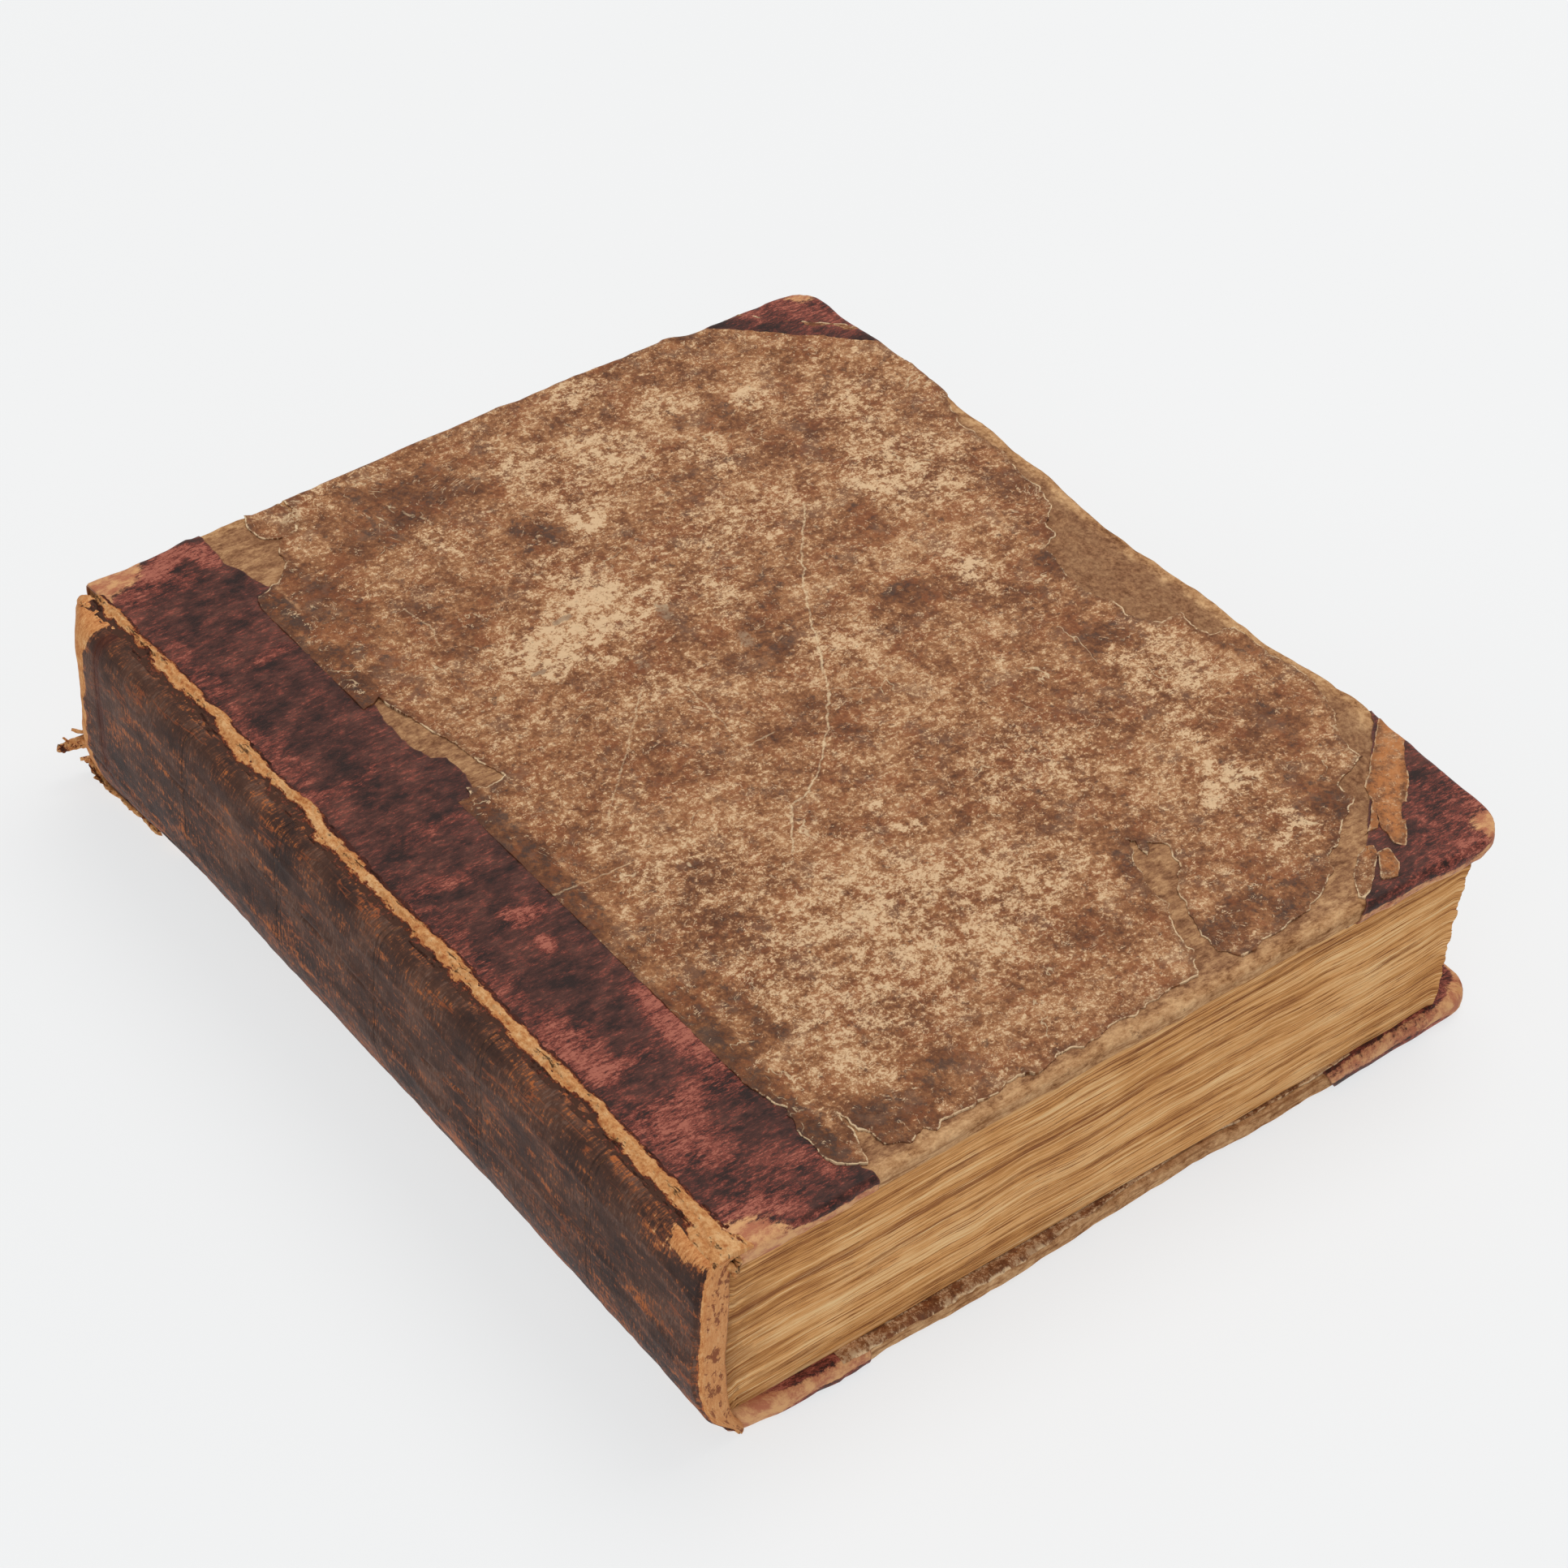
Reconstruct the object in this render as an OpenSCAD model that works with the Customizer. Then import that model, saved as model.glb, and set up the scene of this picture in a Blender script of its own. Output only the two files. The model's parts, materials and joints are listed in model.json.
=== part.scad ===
// Antique half-leather book, lying flat on its rear cover.
// X runs from the spine to the fore-edge, Y from the tail to the head, Z from the rear cover to the front.
// The origin is the middle of the closed book's footprint, on the surface that it lies on.

/* [Covers] */
// Height of the covers, from tail to head
height = 280; // [220:1:330]
// Reach of a cover, from its joint to its fore-edge
reach = 227.6; // [180:0.1:260]
// Thickness of the greyboard
board_t = 4.2; // [2.5:0.1:6]
// How far the rear cover sits back towards the spine, where the book leans
lean = 2.5; // [0:0.1:5]
// Radius of the front cover's rubbed corner at the tail
front_tail_r = 14; // [4:0.5:20]
// Radius of a cover's other fore-edge corners
corner_r = 8; // [3:0.5:18]
// Depth rubbed away along the middle of a cover's fore-edge
edge_wear = 3; // [0:0.1:5]

/* [Covering] */
// Thickness of the leather on the covers
leather_t = 0.8; // [0.5:0.05:1.2]
// Thickness of the leather's pared edge, where paper laps over it
pared_t = 0.4; // [0.2:0.05:0.45]
// Thickness of the side paper
paper_t = 0.3; // [0.2:0.05:0.35]
// Width of leather left showing beside the joint
strip_shown = 31.5; // [20:0.5:35]
// Width of the leather strip with its pared edge
strip_w = 39; // [37:0.5:48]
// Length of a corner piece's leg
corner_leg = 48; // [35:0.5:60]
// Length of the leg that shows on a whole corner
corner_shown = 30; // [15:0.5:33]
// Width of the turn-ins inside a cover
turn_w = 14; // [10:0.5:18]
// Thickness of the turn-ins
turn_t = 0.3; // [0.2:0.05:0.4]
// Thickness of the pasted-down endpaper over the turn-ins
paste_t = 0.2; // [0.15:0.05:0.4]
// Margin of cover left round the pasted-down endpaper
paste_margin = 4; // [3:0.5:8]

/* [Text block] */
// Thickness of the pages
block_t = 48.4; // [25:0.1:70]
// Number of folded gatherings
gatherings = 26; // [8:1:36]
// Square of the covers at head and tail
end_square = 3; // [2:0.1:5]
// Square of the covers at the middle of the fore-edge
fore_square = 14.2; // [6:0.1:18]
// How much further the top pages reach at the fore-edge
fore_spread = 4.7; // [0:0.1:6]
// Unevenness of the gatherings' edges
ragged = 0.35; // [0:0.05:0.6]
// Gap between the pages and each cover
cover_gap = 0.3; // [0.2:0.05:0.6]

/* [Spine] */
// Bulge of the rounded spine beyond the joints
bulge = 8.6; // [5:0.1:14]
// Squareness of the upper shoulder, where 2 is an ellipse
upper_square = 5; // [2:0.1:6]
// Squareness of the lower shoulder
lower_square = 1.9; // [1.6:0.1:4]
// Thickness of the leather over the spine
spine_leather_t = 1.2; // [0.8:0.05:1.6]
// Thickness of the paper lining on the back of the pages
lining_t = 0.5; // [0.3:0.05:0.8]
// Thickness of the caps turned over at head and tail
cap_t = 2.4; // [1.2:0.1:2.8]
// Length worn off the outer edge of the head cap
cap_wear = 4; // [0:0.5:6]
// Width of the slope that the wear leaves on the head cap
cap_wear_w = 2.6; // [1:0.1:4]
// Radius of the raised leather roll along each joint
roll_r = 1.2; // [0.8:0.05:1.4]
// Gap between a joint's roll and the cover that turns round it
roll_gap = 0.3; // [0.2:0.05:0.6]
// Gap between a joint and the board's spine edge
joint_w = 2; // [1.8:0.1:4]
// Distance of the first pair of tooled rules from the tail
rule_first = 54; // [30:0.5:70]
// Distance from one pair of rules to the next
rule_pitch = 44.8; // [30:0.1:48]
// Number of pairs of rules across the spine
rules = 5; // [0:1:5]
// Distance between the two rules of a pair
rule_gap = 3; // [1.5:0.1:6]
// Width of one rule
rule_w = 0.6; // [0.3:0.05:1]
// Depth of a rule, pressed into the leather
rule_depth = 0.25; // [0.1:0.05:0.5]

/* [Sewing] */
// Diameter of a sewing cord
cord_d = 2.2; // [1.2:0.1:2.6]
// Distance of the first cord from the tail
cord_first = 54; // [30:0.5:60]
// Distance from one cord to the next
cord_pitch = 57; // [45:0.5:60]
// Number of sewing cords
cords = 4; // [2:1:4]
// Length of a cord's frayed slip, glued to the board
slip_l = 18; // [10:0.5:28]
// Width of a slip at its frayed end
slip_w = 9; // [5:0.5:12]
// Thickness of a slip
slip_t = 0.8; // [0.4:0.05:1]

/* [Hidden] */
$fn = 48;

// Heights inside a cover, measured from its outer leather face, which is 0
board_face = -leather_t;
board_back = board_face - board_t;
turn_back = board_back - turn_t;
cover_back = turn_back - paste_t;
cover_t = -cover_back;

// Heights of the closed book, measured from the surface that it lies on
thickness = block_t + 2 * (cover_t + cover_gap);
block_z = cover_t + cover_gap;
spine_gap = cover_gap;
spine_half = thickness / 2 - spine_gap;
steps = 12;
cord_gap = 0.3;
tiny = 0.01;

// The outline of the spine in the XZ plane: two quarter superellipses on the line that joins the joints
function joint_x(z) = -lean * (1 - z / thickness);
function shoulder(t, inset, square) = [
    -(bulge - inset) * pow(cos(t), 2 / square),
    (spine_half - inset) * pow(sin(t), 2 / square)
];
function on_spine(p) = let (z = thickness / 2 + p[1]) [joint_x(z) + p[0], z];
function spine_points(inset) = concat(
    [for (i = [steps:-1:1]) let (p = shoulder(90 * i / steps, inset, lower_square)) on_spine([p[0], -p[1]])],
    [for (i = [0:steps]) on_spine(shoulder(90 * i / steps, inset, upper_square))]
);

// The whole book's reach, and the shift that puts its middle on the origin
spine_x = min([for (p = spine_points(0)) p[0]]);
middle = [-(reach + spine_x) / 2, -height / 2, 0];

// A cover's outline in the XY plane, with X counted from its joint, set in by a margin on three sides
function corner(x, y, r, from) = [for (i = [0:6]) [x + r * cos(from + 15 * i), y + r * sin(from + 15 * i)]];
function worn_edge(inset, low, high) = [
    for (i = [1:7]) [reach - inset - edge_wear * pow(sin(180 * i / 8), 2), low + (high - low) * i / 8]
];
function cover_points(inset, tail_r) = let (
    tail = max(tail_r - inset, 1),
    head = max(corner_r - inset, 1),
    side = reach - inset
) concat(
    [[joint_w, inset]],
    corner(side - tail, inset + tail, tail, -90),
    worn_edge(inset, inset + tail, height - inset - head),
    corner(side - head, height - inset - head, head, 0),
    [[joint_w, height - inset]]
);

// What is left of the front cover's torn side paper, with X counted from the joint and Y from the tail.
// Distances beyond the middle are measured back from the fore-edge and the head.
far = reach - 227.6;
top = height - 280;
FRONT_PAPER = [
    [strip_shown, 33], [strip_shown + 2, 28], [strip_shown, 21], [strip_shown + 0.5, 11],
    [38.5, 5.5], [42.5, 14], [45.5, 8], [50, 4.5], [70, 5.5], [100, 4.5], [125, 5.5], [139, 8],
    [140, 25], [139.8, 62], [141.5, 62], [142, 25], [143, 6], [160, 6], [175 + far, 9],
    [188 + far, 18], [198 + far, 25], [204 + far, 36], [212 + far, 38], [216 + far, 48],
    [222 + far, 56], [226 + far, 66], [226 + far, 80], [222.5 + far, 93], [216 + far, 96],
    [214 + far, 106], [207 + far, 110], [205 + far, 125], [203 + far, 140], [206 + far, 152],
    [211 + far, 158], [220 + far, 163], [220.5 + far, 172], [223 + far, 182], [223 + far, 203],
    [226.5 + far, 210], [230 + far, 212 + top], [230 + far, 246 + top], [204 + far, 277 + top],
    [190 + far, 277 + top], [180 + far, 282 + top], [58, 282 + top], [47, 270 + top],
    [50, 258 + top], [40, 254 + top], [strip_shown, 252 + top], [strip_shown, 186], [42, 183],
    [47, 165], [45, 156], [strip_shown, 155]
];

LEATHER = [0.27, 0.19, 0.18];
SPINE_LEATHER = [0.31, 0.25, 0.23];
PAPER = [0.50, 0.36, 0.25];
BOARD = [0.72, 0.57, 0.41];
ENDPAPER = [0.80, 0.70, 0.54];
PAGES = [0.74, 0.58, 0.38];
CORD = [0.74, 0.66, 0.50];
LINING = [0.78, 0.71, 0.58];

// Places what is drawn in the XZ plane, from the tail at y0 to the head at y1
module along(y0, y1) {
    translate([0, y1, 0])
        rotate([90, 0, 0])
            linear_extrude(y1 - y0)
                children();
}

// The part of the XZ plane inside the spine's outline
module spine_section(inset) {
    polygon(spine_points(inset));
}

// The same, carried on past the joint line into the pages
module spine_hollow(inset) {
    points = spine_points(inset);
    top_z = points[len(points) - 1][1];
    polygon(concat(points, [[2 * joint_w, top_z], [2 * joint_w, points[0][1]]]));
}

// One folded gathering, counted from the rear cover
module gathering(i) {
    sheet_t = block_t / gatherings;
    rise = (i + 0.5) / gatherings;
    swing = ragged * sin(i * 137.5);
    slip = ragged * cos(i * 99);
    fore = reach - fore_square + fore_spread * rise * rise - 2 * exp(-rise / 0.06) + swing;
    x0 = joint_x(block_z + block_t * rise) + joint_w / 2;
    translate([x0, end_square + slip, block_z + i * sheet_t])
        cube([fore - x0, height - 2 * end_square - slip + swing, sheet_t]);
}

// The groove sawn across the back of the pages for one cord
module cord_kerf(y) {
    width = cord_d + 2 * cord_gap;
    along(y - width / 2, y + width / 2)
        difference() {
            spine_hollow(0);
            spine_hollow(spine_leather_t + lining_t + cord_d + 4 * cord_gap);
        }
}

// The rounded and backed edge where the gatherings are sewn, spread into a shoulder under each board
module backed_edge() {
    inset = spine_leather_t + lining_t;
    points = spine_points(inset);
    root = 3 * joint_w;
    along(end_square, height - end_square)
        polygon(concat(points, [
            [joint_x(thickness) + joint_w / 2, block_z + block_t],
            [root, block_z + block_t],
            [root, block_z],
            [joint_x(0) + joint_w / 2, block_z]
        ]));
}

module text_block() {
    color(PAGES)
        translate(middle)
            difference() {
                union() {
                    for (i = [0:gatherings - 1])
                        gathering(i);
                    backed_edge();
                }
                for (i = [0:cords - 1])
                    cord_kerf(cord_first + i * cord_pitch);
            }
}

module spine_lining() {
    color(LINING)
        translate(middle)
            along(end_square, height - end_square)
                difference() {
                    spine_section(spine_leather_t);
                    spine_hollow(spine_leather_t + lining_t);
                }
}

// A round cord swept along the back of the pages, from one shoulder to the other
CORD_SIDES = 8;
function cord_ring(path, i) = let (
    before = path[max(i - 1, 0)],
    after = path[min(i + 1, len(path) - 1)],
    run = (after - before) / norm(after - before)
) [
    for (k = [0:CORD_SIDES - 1]) let (a = 360 * k / CORD_SIDES, out = cord_d / 2 * cos(a))
        [path[i][0] - run[1] * out, cord_d / 2 * sin(a), path[i][1] + run[0] * out]
];
module sewing_cord(index) {
    path = spine_points(spine_leather_t + lining_t + cord_d / 2 + cord_gap);
    rings = len(path);
    points = [for (i = [0:rings - 1]) each cord_ring(path, i)];
    sides = [
        for (i = [0:rings - 2], k = [0:CORD_SIDES - 1]) let (n = (k + 1) % CORD_SIDES, a = i * CORD_SIDES)
            [a + k, a + n, a + CORD_SIDES + n, a + CORD_SIDES + k]
    ];
    ends = [
        [for (k = [CORD_SIDES - 1:-1:0]) k],
        [for (k = [0:CORD_SIDES - 1]) (rings - 1) * CORD_SIDES + k]
    ];
    if (index <= cords)
        color(CORD)
            translate(middle + [0, cord_first + (index - 1) * cord_pitch, 0])
                polyhedron(points, concat(sides, ends));
}

// The leather over the spine: a thin rounded wall, a turned-over cap at each end and a roll along each joint
module spine_leather() {
    color(SPINE_LEATHER)
        translate(middle)
            difference() {
                union() {
                    along(0, height)
                        difference() {
                            spine_section(0);
                            spine_hollow(spine_leather_t);
                        }
                    along(0, cap_t)
                        spine_section(0);
                    along(height - cap_t, height)
                        spine_section(0);
                    joint_roll(0, thickness);
                    joint_roll(-lean, 0);
                }
                worn_head_cap();
                for (i = [0:1:rules - 1], side = [-1, 1])
                    tooled_rule(rule_first + i * rule_pitch + side * rule_gap / 2);
                // What would reach below the rear cover's face
                along(-1, height + 1)
                    translate([-lean - 2 * roll_r, -2 * roll_r])
                        square([4 * roll_r, 2 * roll_r]);
            }
}

// One line pressed across the spine
module tooled_rule(y) {
    along(y - rule_w / 2, y + rule_w / 2)
        difference() {
            spine_section(-1);
            spine_section(rule_depth);
            translate([joint_x(thickness / 2) - roll_r, -1])
                square([bulge, thickness + 2]);
        }
}

module joint_roll(x, z) {
    translate([x, height, z])
        rotate([90, 0, 0])
            cylinder(h = height, r = roll_r);
}

// The slope rubbed off the head cap's outer edge
module worn_head_cap() {
    if (cap_wear > 0)
        translate([0, 0, -1])
            linear_extrude(thickness + 1 - roll_r)
                polygon([
                    [spine_x - 1, height - cap_wear],
                    [spine_x, height - cap_wear],
                    [spine_x + cap_wear_w, height],
                    [spine_x + cap_wear_w, height + 1],
                    [spine_x - 1, height + 1]
                ]);
}

// Puts a cover in place: its outer leather face is z = 0 and its joint is x = 0
module front_place() {
    translate(middle + [0, 0, thickness])
        children();
}
module rear_place() {
    translate(middle + [-lean, 0, 0])
        mirror([0, 0, 1])
            children();
}

// A layer of a cover, between two heights and set in by a margin
module layer(low, high, inset, tail_r) {
    translate([0, 0, low])
        linear_extrude(high - low)
            polygon(cover_points(inset, tail_r));
}

module board_blank(tail_r) {
    layer(board_back, board_face, leather_t, tail_r);
}

// One cord's end, frayed out flat on the board
module slip(y, low, high) {
    translate([0, y, low])
        linear_extrude(high - low)
            polygon([
                [joint_w, -cord_d], [joint_w + slip_l, -slip_w / 2],
                [joint_w + slip_l, slip_w / 2], [joint_w, cord_d]
            ]);
}

module slips(high) {
    for (i = [0:cords - 1])
        slip(cord_first + i * cord_pitch, board_face - slip_t, high);
}

module board(tail_r) {
    difference() {
        board_blank(tail_r);
        slips(board_face + 1);
    }
}

// Leather or paper drawn round three edges of the board and turned in behind it
module wrap(inset, high, tail_r) {
    difference() {
        layer(turn_back, high, inset, tail_r);
        board_blank(tail_r);
        layer(turn_back - 1, board_back, turn_w, tail_r);
    }
}

// The regions of a cover that each piece of leather takes, as seen from above
module strip_area(width) {
    translate([roll_r + roll_gap, -1])
        square([width - roll_r - roll_gap, height + 2]);
}
module head_corner_area(leg) {
    polygon([
        [reach - leg, height], [reach + 1, height - leg - 1],
        [reach + 1, height + 1], [reach - leg, height + 1]
    ]);
}
module tail_corner_area(leg) {
    polygon([[reach - leg, 0], [reach - leg, -1], [reach + 1, -1], [reach + 1, leg + 1]]);
}

module upright(low, high) {
    translate([0, 0, low])
        linear_extrude(high - low)
            children();
}

module leather_strip(tail_r) {
    intersection() {
        wrap(0, 0, tail_r);
        upright(turn_back, 0)
            strip_area(strip_shown);
    }
    intersection() {
        wrap(0, board_face + pared_t, tail_r);
        upright(turn_back, 0)
            strip_area(strip_w);
    }
    // The leather runs on past the board's spine edge, up to the roll of the joint
    translate([roll_r + roll_gap, 0, board_face])
        cube([joint_w - roll_r - roll_gap + tiny, height, leather_t]);
}

module head_corner(tail_r, shown) {
    intersection() {
        wrap(0, 0, tail_r);
        upright(turn_back, 0)
            head_corner_area(shown);
    }
    intersection() {
        wrap(0, board_face + pared_t, tail_r);
        upright(turn_back, 0)
            head_corner_area(corner_leg);
    }
}

module tail_corner(tail_r, shown) {
    intersection() {
        wrap(0, 0, tail_r);
        upright(turn_back, 0)
            tail_corner_area(shown);
    }
    intersection() {
        wrap(0, board_face + pared_t, tail_r);
        upright(turn_back, 0)
            tail_corner_area(corner_leg);
    }
}

// Side paper: flat on the board, and stepped up where it laps over the pared leather.
// Its outline is drawn for the face and edges first, and then for the turn-ins.
module side_paper(tail_r) {
    lap = pared_t + paper_t;
    difference() {
        intersection() {
            union() {
                wrap(leather_t - paper_t, board_face + paper_t, tail_r);
                intersection() {
                    layer(board_face, board_face + lap, leather_t, tail_r);
                    upright(board_face, board_face + lap)
                        union() {
                            strip_area(strip_w + paper_t);
                            head_corner_area(corner_leg + paper_t);
                            tail_corner_area(corner_leg + paper_t);
                        }
                }
            }
            union() {
                upright(board_back, board_face + lap)
                    children(0);
                upright(turn_back, board_back)
                    children(1);
            }
        }
        upright(turn_back - 1, board_face + pared_t)
            union() {
                strip_area(strip_w);
                head_corner_area(corner_leg);
                tail_corner_area(corner_leg);
            }
    }
}

// Endpaper pasted inside the board, filled out level between the turn-ins
module pastedown(tail_r) {
    layer(cover_back, turn_back, paste_margin, tail_r);
    layer(turn_back - tiny, board_back, turn_w, tail_r);
}

// Whole side paper, between the leather strip and the corner pieces
module whole_paper() {
    polygon([
        [strip_shown, -1], [reach - corner_shown, -1], [reach - corner_shown, 0],
        [reach + 1, corner_shown + 1], [reach + 1, height - corner_shown - 1],
        [reach - corner_shown, height], [reach - corner_shown, height + 1], [strip_shown, height + 1]
    ]);
}

module front_board() {
    color(BOARD)
        front_place()
            board(front_tail_r);
}
module front_cord_slips() {
    color(CORD)
        front_place()
            slips(board_face);
}
module front_leather_strip() {
    color(LEATHER)
        front_place()
            leather_strip(front_tail_r);
}
module front_head_corner() {
    color(LEATHER)
        front_place()
            head_corner(front_tail_r, corner_shown - 4);
}
module front_tail_corner() {
    color(LEATHER)
        front_place()
            tail_corner(front_tail_r, corner_shown + 8);
}
module front_side_paper() {
    color(PAPER)
        front_place()
            side_paper(front_tail_r) {
                polygon(FRONT_PAPER);
                whole_paper();
            }
}
module front_pastedown() {
    color(ENDPAPER)
        front_place()
            pastedown(front_tail_r);
}

module rear_board() {
    color(BOARD)
        rear_place()
            board(corner_r);
}
module rear_cord_slips() {
    color(CORD)
        rear_place()
            slips(board_face);
}
module rear_leather_strip() {
    color(LEATHER)
        rear_place()
            leather_strip(corner_r);
}
module rear_head_corner() {
    color(LEATHER)
        rear_place()
            head_corner(corner_r, corner_shown);
}
module rear_tail_corner() {
    color(LEATHER)
        rear_place()
            tail_corner(corner_r, corner_shown);
}
module rear_side_paper() {
    color(PAPER)
        rear_place()
            side_paper(corner_r) {
                whole_paper();
                whole_paper();
            }
}
module rear_pastedown() {
    color(ENDPAPER)
        rear_place()
            pastedown(corner_r);
}

text_block();
spine_lining();
sewing_cord(1);  // sewing_cord_1
sewing_cord(2);  // sewing_cord_2
sewing_cord(3);  // sewing_cord_3
sewing_cord(4);  // sewing_cord_4
spine_leather();
front_board();
front_cord_slips();
front_leather_strip();
front_head_corner();
front_tail_corner();
front_side_paper();
front_pastedown();
rear_board();
rear_cord_slips();
rear_leather_strip();
rear_head_corner();
rear_tail_corner();
rear_side_paper();
rear_pastedown();
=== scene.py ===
"""Antique half-leather book, lying on its rear cover, dressed round its solids.

Shapes are worked out in the closed book's own millimetres: X from the front joint, Y from the tail,
Z up from the surface that it lies on. Each cover is drawn unfolded, flat, and then folded round its board.
"""
import functools
import itertools
import json
import math

import bpy
import numpy as np
from mathutils import Matrix, Vector, geometry, kdtree


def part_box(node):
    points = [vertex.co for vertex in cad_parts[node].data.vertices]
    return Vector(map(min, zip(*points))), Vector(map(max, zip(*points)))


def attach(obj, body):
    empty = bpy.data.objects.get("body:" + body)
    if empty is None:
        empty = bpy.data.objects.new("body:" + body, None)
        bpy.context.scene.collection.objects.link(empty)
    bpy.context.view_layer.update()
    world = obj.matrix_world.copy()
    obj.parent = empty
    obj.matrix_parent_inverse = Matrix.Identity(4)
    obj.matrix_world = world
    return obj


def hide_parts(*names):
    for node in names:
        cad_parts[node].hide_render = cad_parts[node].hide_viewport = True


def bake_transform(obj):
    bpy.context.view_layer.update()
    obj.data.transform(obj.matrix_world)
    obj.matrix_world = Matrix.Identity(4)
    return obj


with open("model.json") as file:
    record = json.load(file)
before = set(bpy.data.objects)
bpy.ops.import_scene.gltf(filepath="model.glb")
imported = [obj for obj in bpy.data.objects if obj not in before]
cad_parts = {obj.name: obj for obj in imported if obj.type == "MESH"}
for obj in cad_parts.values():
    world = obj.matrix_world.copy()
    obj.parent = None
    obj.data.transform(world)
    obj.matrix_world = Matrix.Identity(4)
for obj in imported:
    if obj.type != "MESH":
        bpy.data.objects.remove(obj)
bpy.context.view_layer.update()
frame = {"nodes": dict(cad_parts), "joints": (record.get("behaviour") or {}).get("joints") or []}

# Sizes read from the solids
MM = 0.001
HINGES = {joint["name"]: joint for joint in frame["joints"]}
STRIP_LOW, STRIP_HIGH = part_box("front_leather_strip")
BOARD_LOW, BOARD_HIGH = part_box("front_board")
FRONT_HINGE = Vector(HINGES["front_cover_hinge"]["pos_m"])
REAR_HINGE = Vector(HINGES["rear_cover_hinge"]["pos_m"])
ORIGIN = np.array([FRONT_HINGE.x, STRIP_LOW.y, 0.0])
HEIGHT = (STRIP_HIGH.y - STRIP_LOW.y) / MM
THICKNESS = FRONT_HINGE.z / MM
LEAN = (FRONT_HINGE.x - REAR_HINGE.x) / MM
REACH = (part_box("front_head_corner")[1].x - FRONT_HINGE.x) / MM
LEATHER_T = THICKNESS - BOARD_HIGH.z / MM
BOARD_T = (BOARD_HIGH.z - BOARD_LOW.z) / MM
BOARD_FACE = -LEATHER_T
JOINT_W = (BOARD_LOW.x - FRONT_HINGE.x) / MM

# Sizes that the solids' source has by name
COVER_GAP = 0.3
BLOCK_LOW = 5.8
BLOCK_HIGH = THICKNESS - BLOCK_LOW
BLOCK_SQUARE = 3.0
BULGE = 8.6
SPINE_HALF = THICKNESS / 2 - COVER_GAP
SPINE_T = 1.2
UPPER_SQUARE = 5.0
LOWER_SQUARE = 1.9
CORNER_LEG = 48
CORDS = [54.0 + 57.0 * k for k in range(4)]

# Sizes of the wear and of the covering, which the photograph shows
TAIL_R = {"front": 11.0, "rear": 8.0}
HEAD_R = 8.0
ROUND_OUT = 1.3
ROUND_IN = 1.0
TURN_SHOWN = 6.0
PAPER_T = 0.3
PARED_T = 0.4
STRIP_SHOWN = 31.5
STRIP_W = 39.0
CORNER_SHOWN = 30.0
LINING_DEPTHS = (1.25, 1.68)
CORD_DEPTH = 2.9
KERF_DEPTH = 2.9
FRONT_RIDGE_END = 273.0

# How far each board's edges stray outward from a true rectangle: places along them and distances
STRAY = {
    ("front", "fore"): [(11, 0.5), (28, 0.6), (40, 1.7), (52, 2.9), (64, 2.6), (76, 1.0), (88, -0.4),
                        (100, 0.2), (112, 0.1), (124, -0.5), (136, -1.6), (148, -1.3), (160, -0.4),
                        (172, 0.8), (184, 0.2), (196, 1.2), (208, 1.0), (220, 2.1), (232, 1.9), (244, 1.0),
                        (256, 0.1), (268, 0.3)],
    ("front", "head"): [(4, 0.8), (12, 0.1), (24, 0.1), (36, 1.3), (48, 0.9), (60, 1.1), (84, 1.5),
                        (108, 2.1), (144, 2.3), (156, 1.9), (168, 1.4), (180, 0.8), (190, -1.0), (204, -1.4),
                        (215, -2.2)],
    ("front", "tail"): [(150, 0), (200, 0.6), (214, 1.0)],
    ("rear", "fore"): [(10, 0.8), (40, 0.3), (90, -1.8), (140, -3), (190, -1.8), (240, 0), (268, 0)],
    ("rear", "head"): [(0, 0), (200, 0)],
    ("rear", "tail"): [(0, -2.4), (8, -0.6), (16, 0.5), (36, 1.2), (84, 1.3), (100, 0.7), (120, 0),
                       (140, -0.6), (156, 0.1), (180, 0), (204, -1.0), (214, -1.1)],
}

# Middles of the six pairs of tooled lines across the spine
TOOLED = [40.6 + 43.3 * k for k in range(6)]

# How far the spine's foot is drawn in under the book: heights and distances
FOOT = [(0, 1.9), (0.3, 2.3), (1, 3.7), (2, 4.0), (3, 4.0), (6, 3.4), (9, 2.5), (12, 1.6), (15, 1.0),
        (20, 0.4), (26, 0)]


# Noise and soft steps on arrays
LATTICE = np.random.default_rng(11).uniform(-1, 1, (32, 32, 32))


def noise(x, y, z=0.0):
    """Smooth noise from -1 to 1, on a lattice one unit apart."""
    place = np.stack(np.broadcast_arrays(x, y, z), -1).astype(float)
    cell = np.floor(place).astype(int)
    part = place - cell
    part = part * part * (3 - 2 * part)
    total = 0.0
    for corner in itertools.product((0, 1), repeat=3):
        weight = np.prod(np.where(np.array(corner) == 1, part, 1 - part), axis=-1)
        i, j, k = np.moveaxis((cell + corner) % 32, -1, 0)
        total = total + weight * LATTICE[i, j, k]
    return total


def rough(x, y, z=0.0, octaves=4):
    """Noise with finer and fainter copies of itself."""
    total = 0.0
    for k in range(octaves):
        fine = 2.0 ** k
        total = total + noise(x * fine + 17.3 * k, y * fine + 5.1 * k, np.asarray(z) * fine) / fine
    return total


def step(low, high, value):
    """Rises smoothly from 0 to 1 between two values, or falls if they are given the other way round."""
    t = np.clip((value - low) / (high - low), 0, 1)
    return t * t * (3 - 2 * t)


def through(stations, place):
    """A smooth run through values given at places along a line."""
    places, values = np.array(stations, float).T
    place = np.clip(place, places[0], places[-1])
    after = np.clip(np.searchsorted(places, place), 1, len(places) - 1)
    share = step(0, 1, (place - places[after - 1]) / (places[after] - places[after - 1]))
    return values[after - 1] + (values[after] - values[after - 1]) * share


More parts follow.
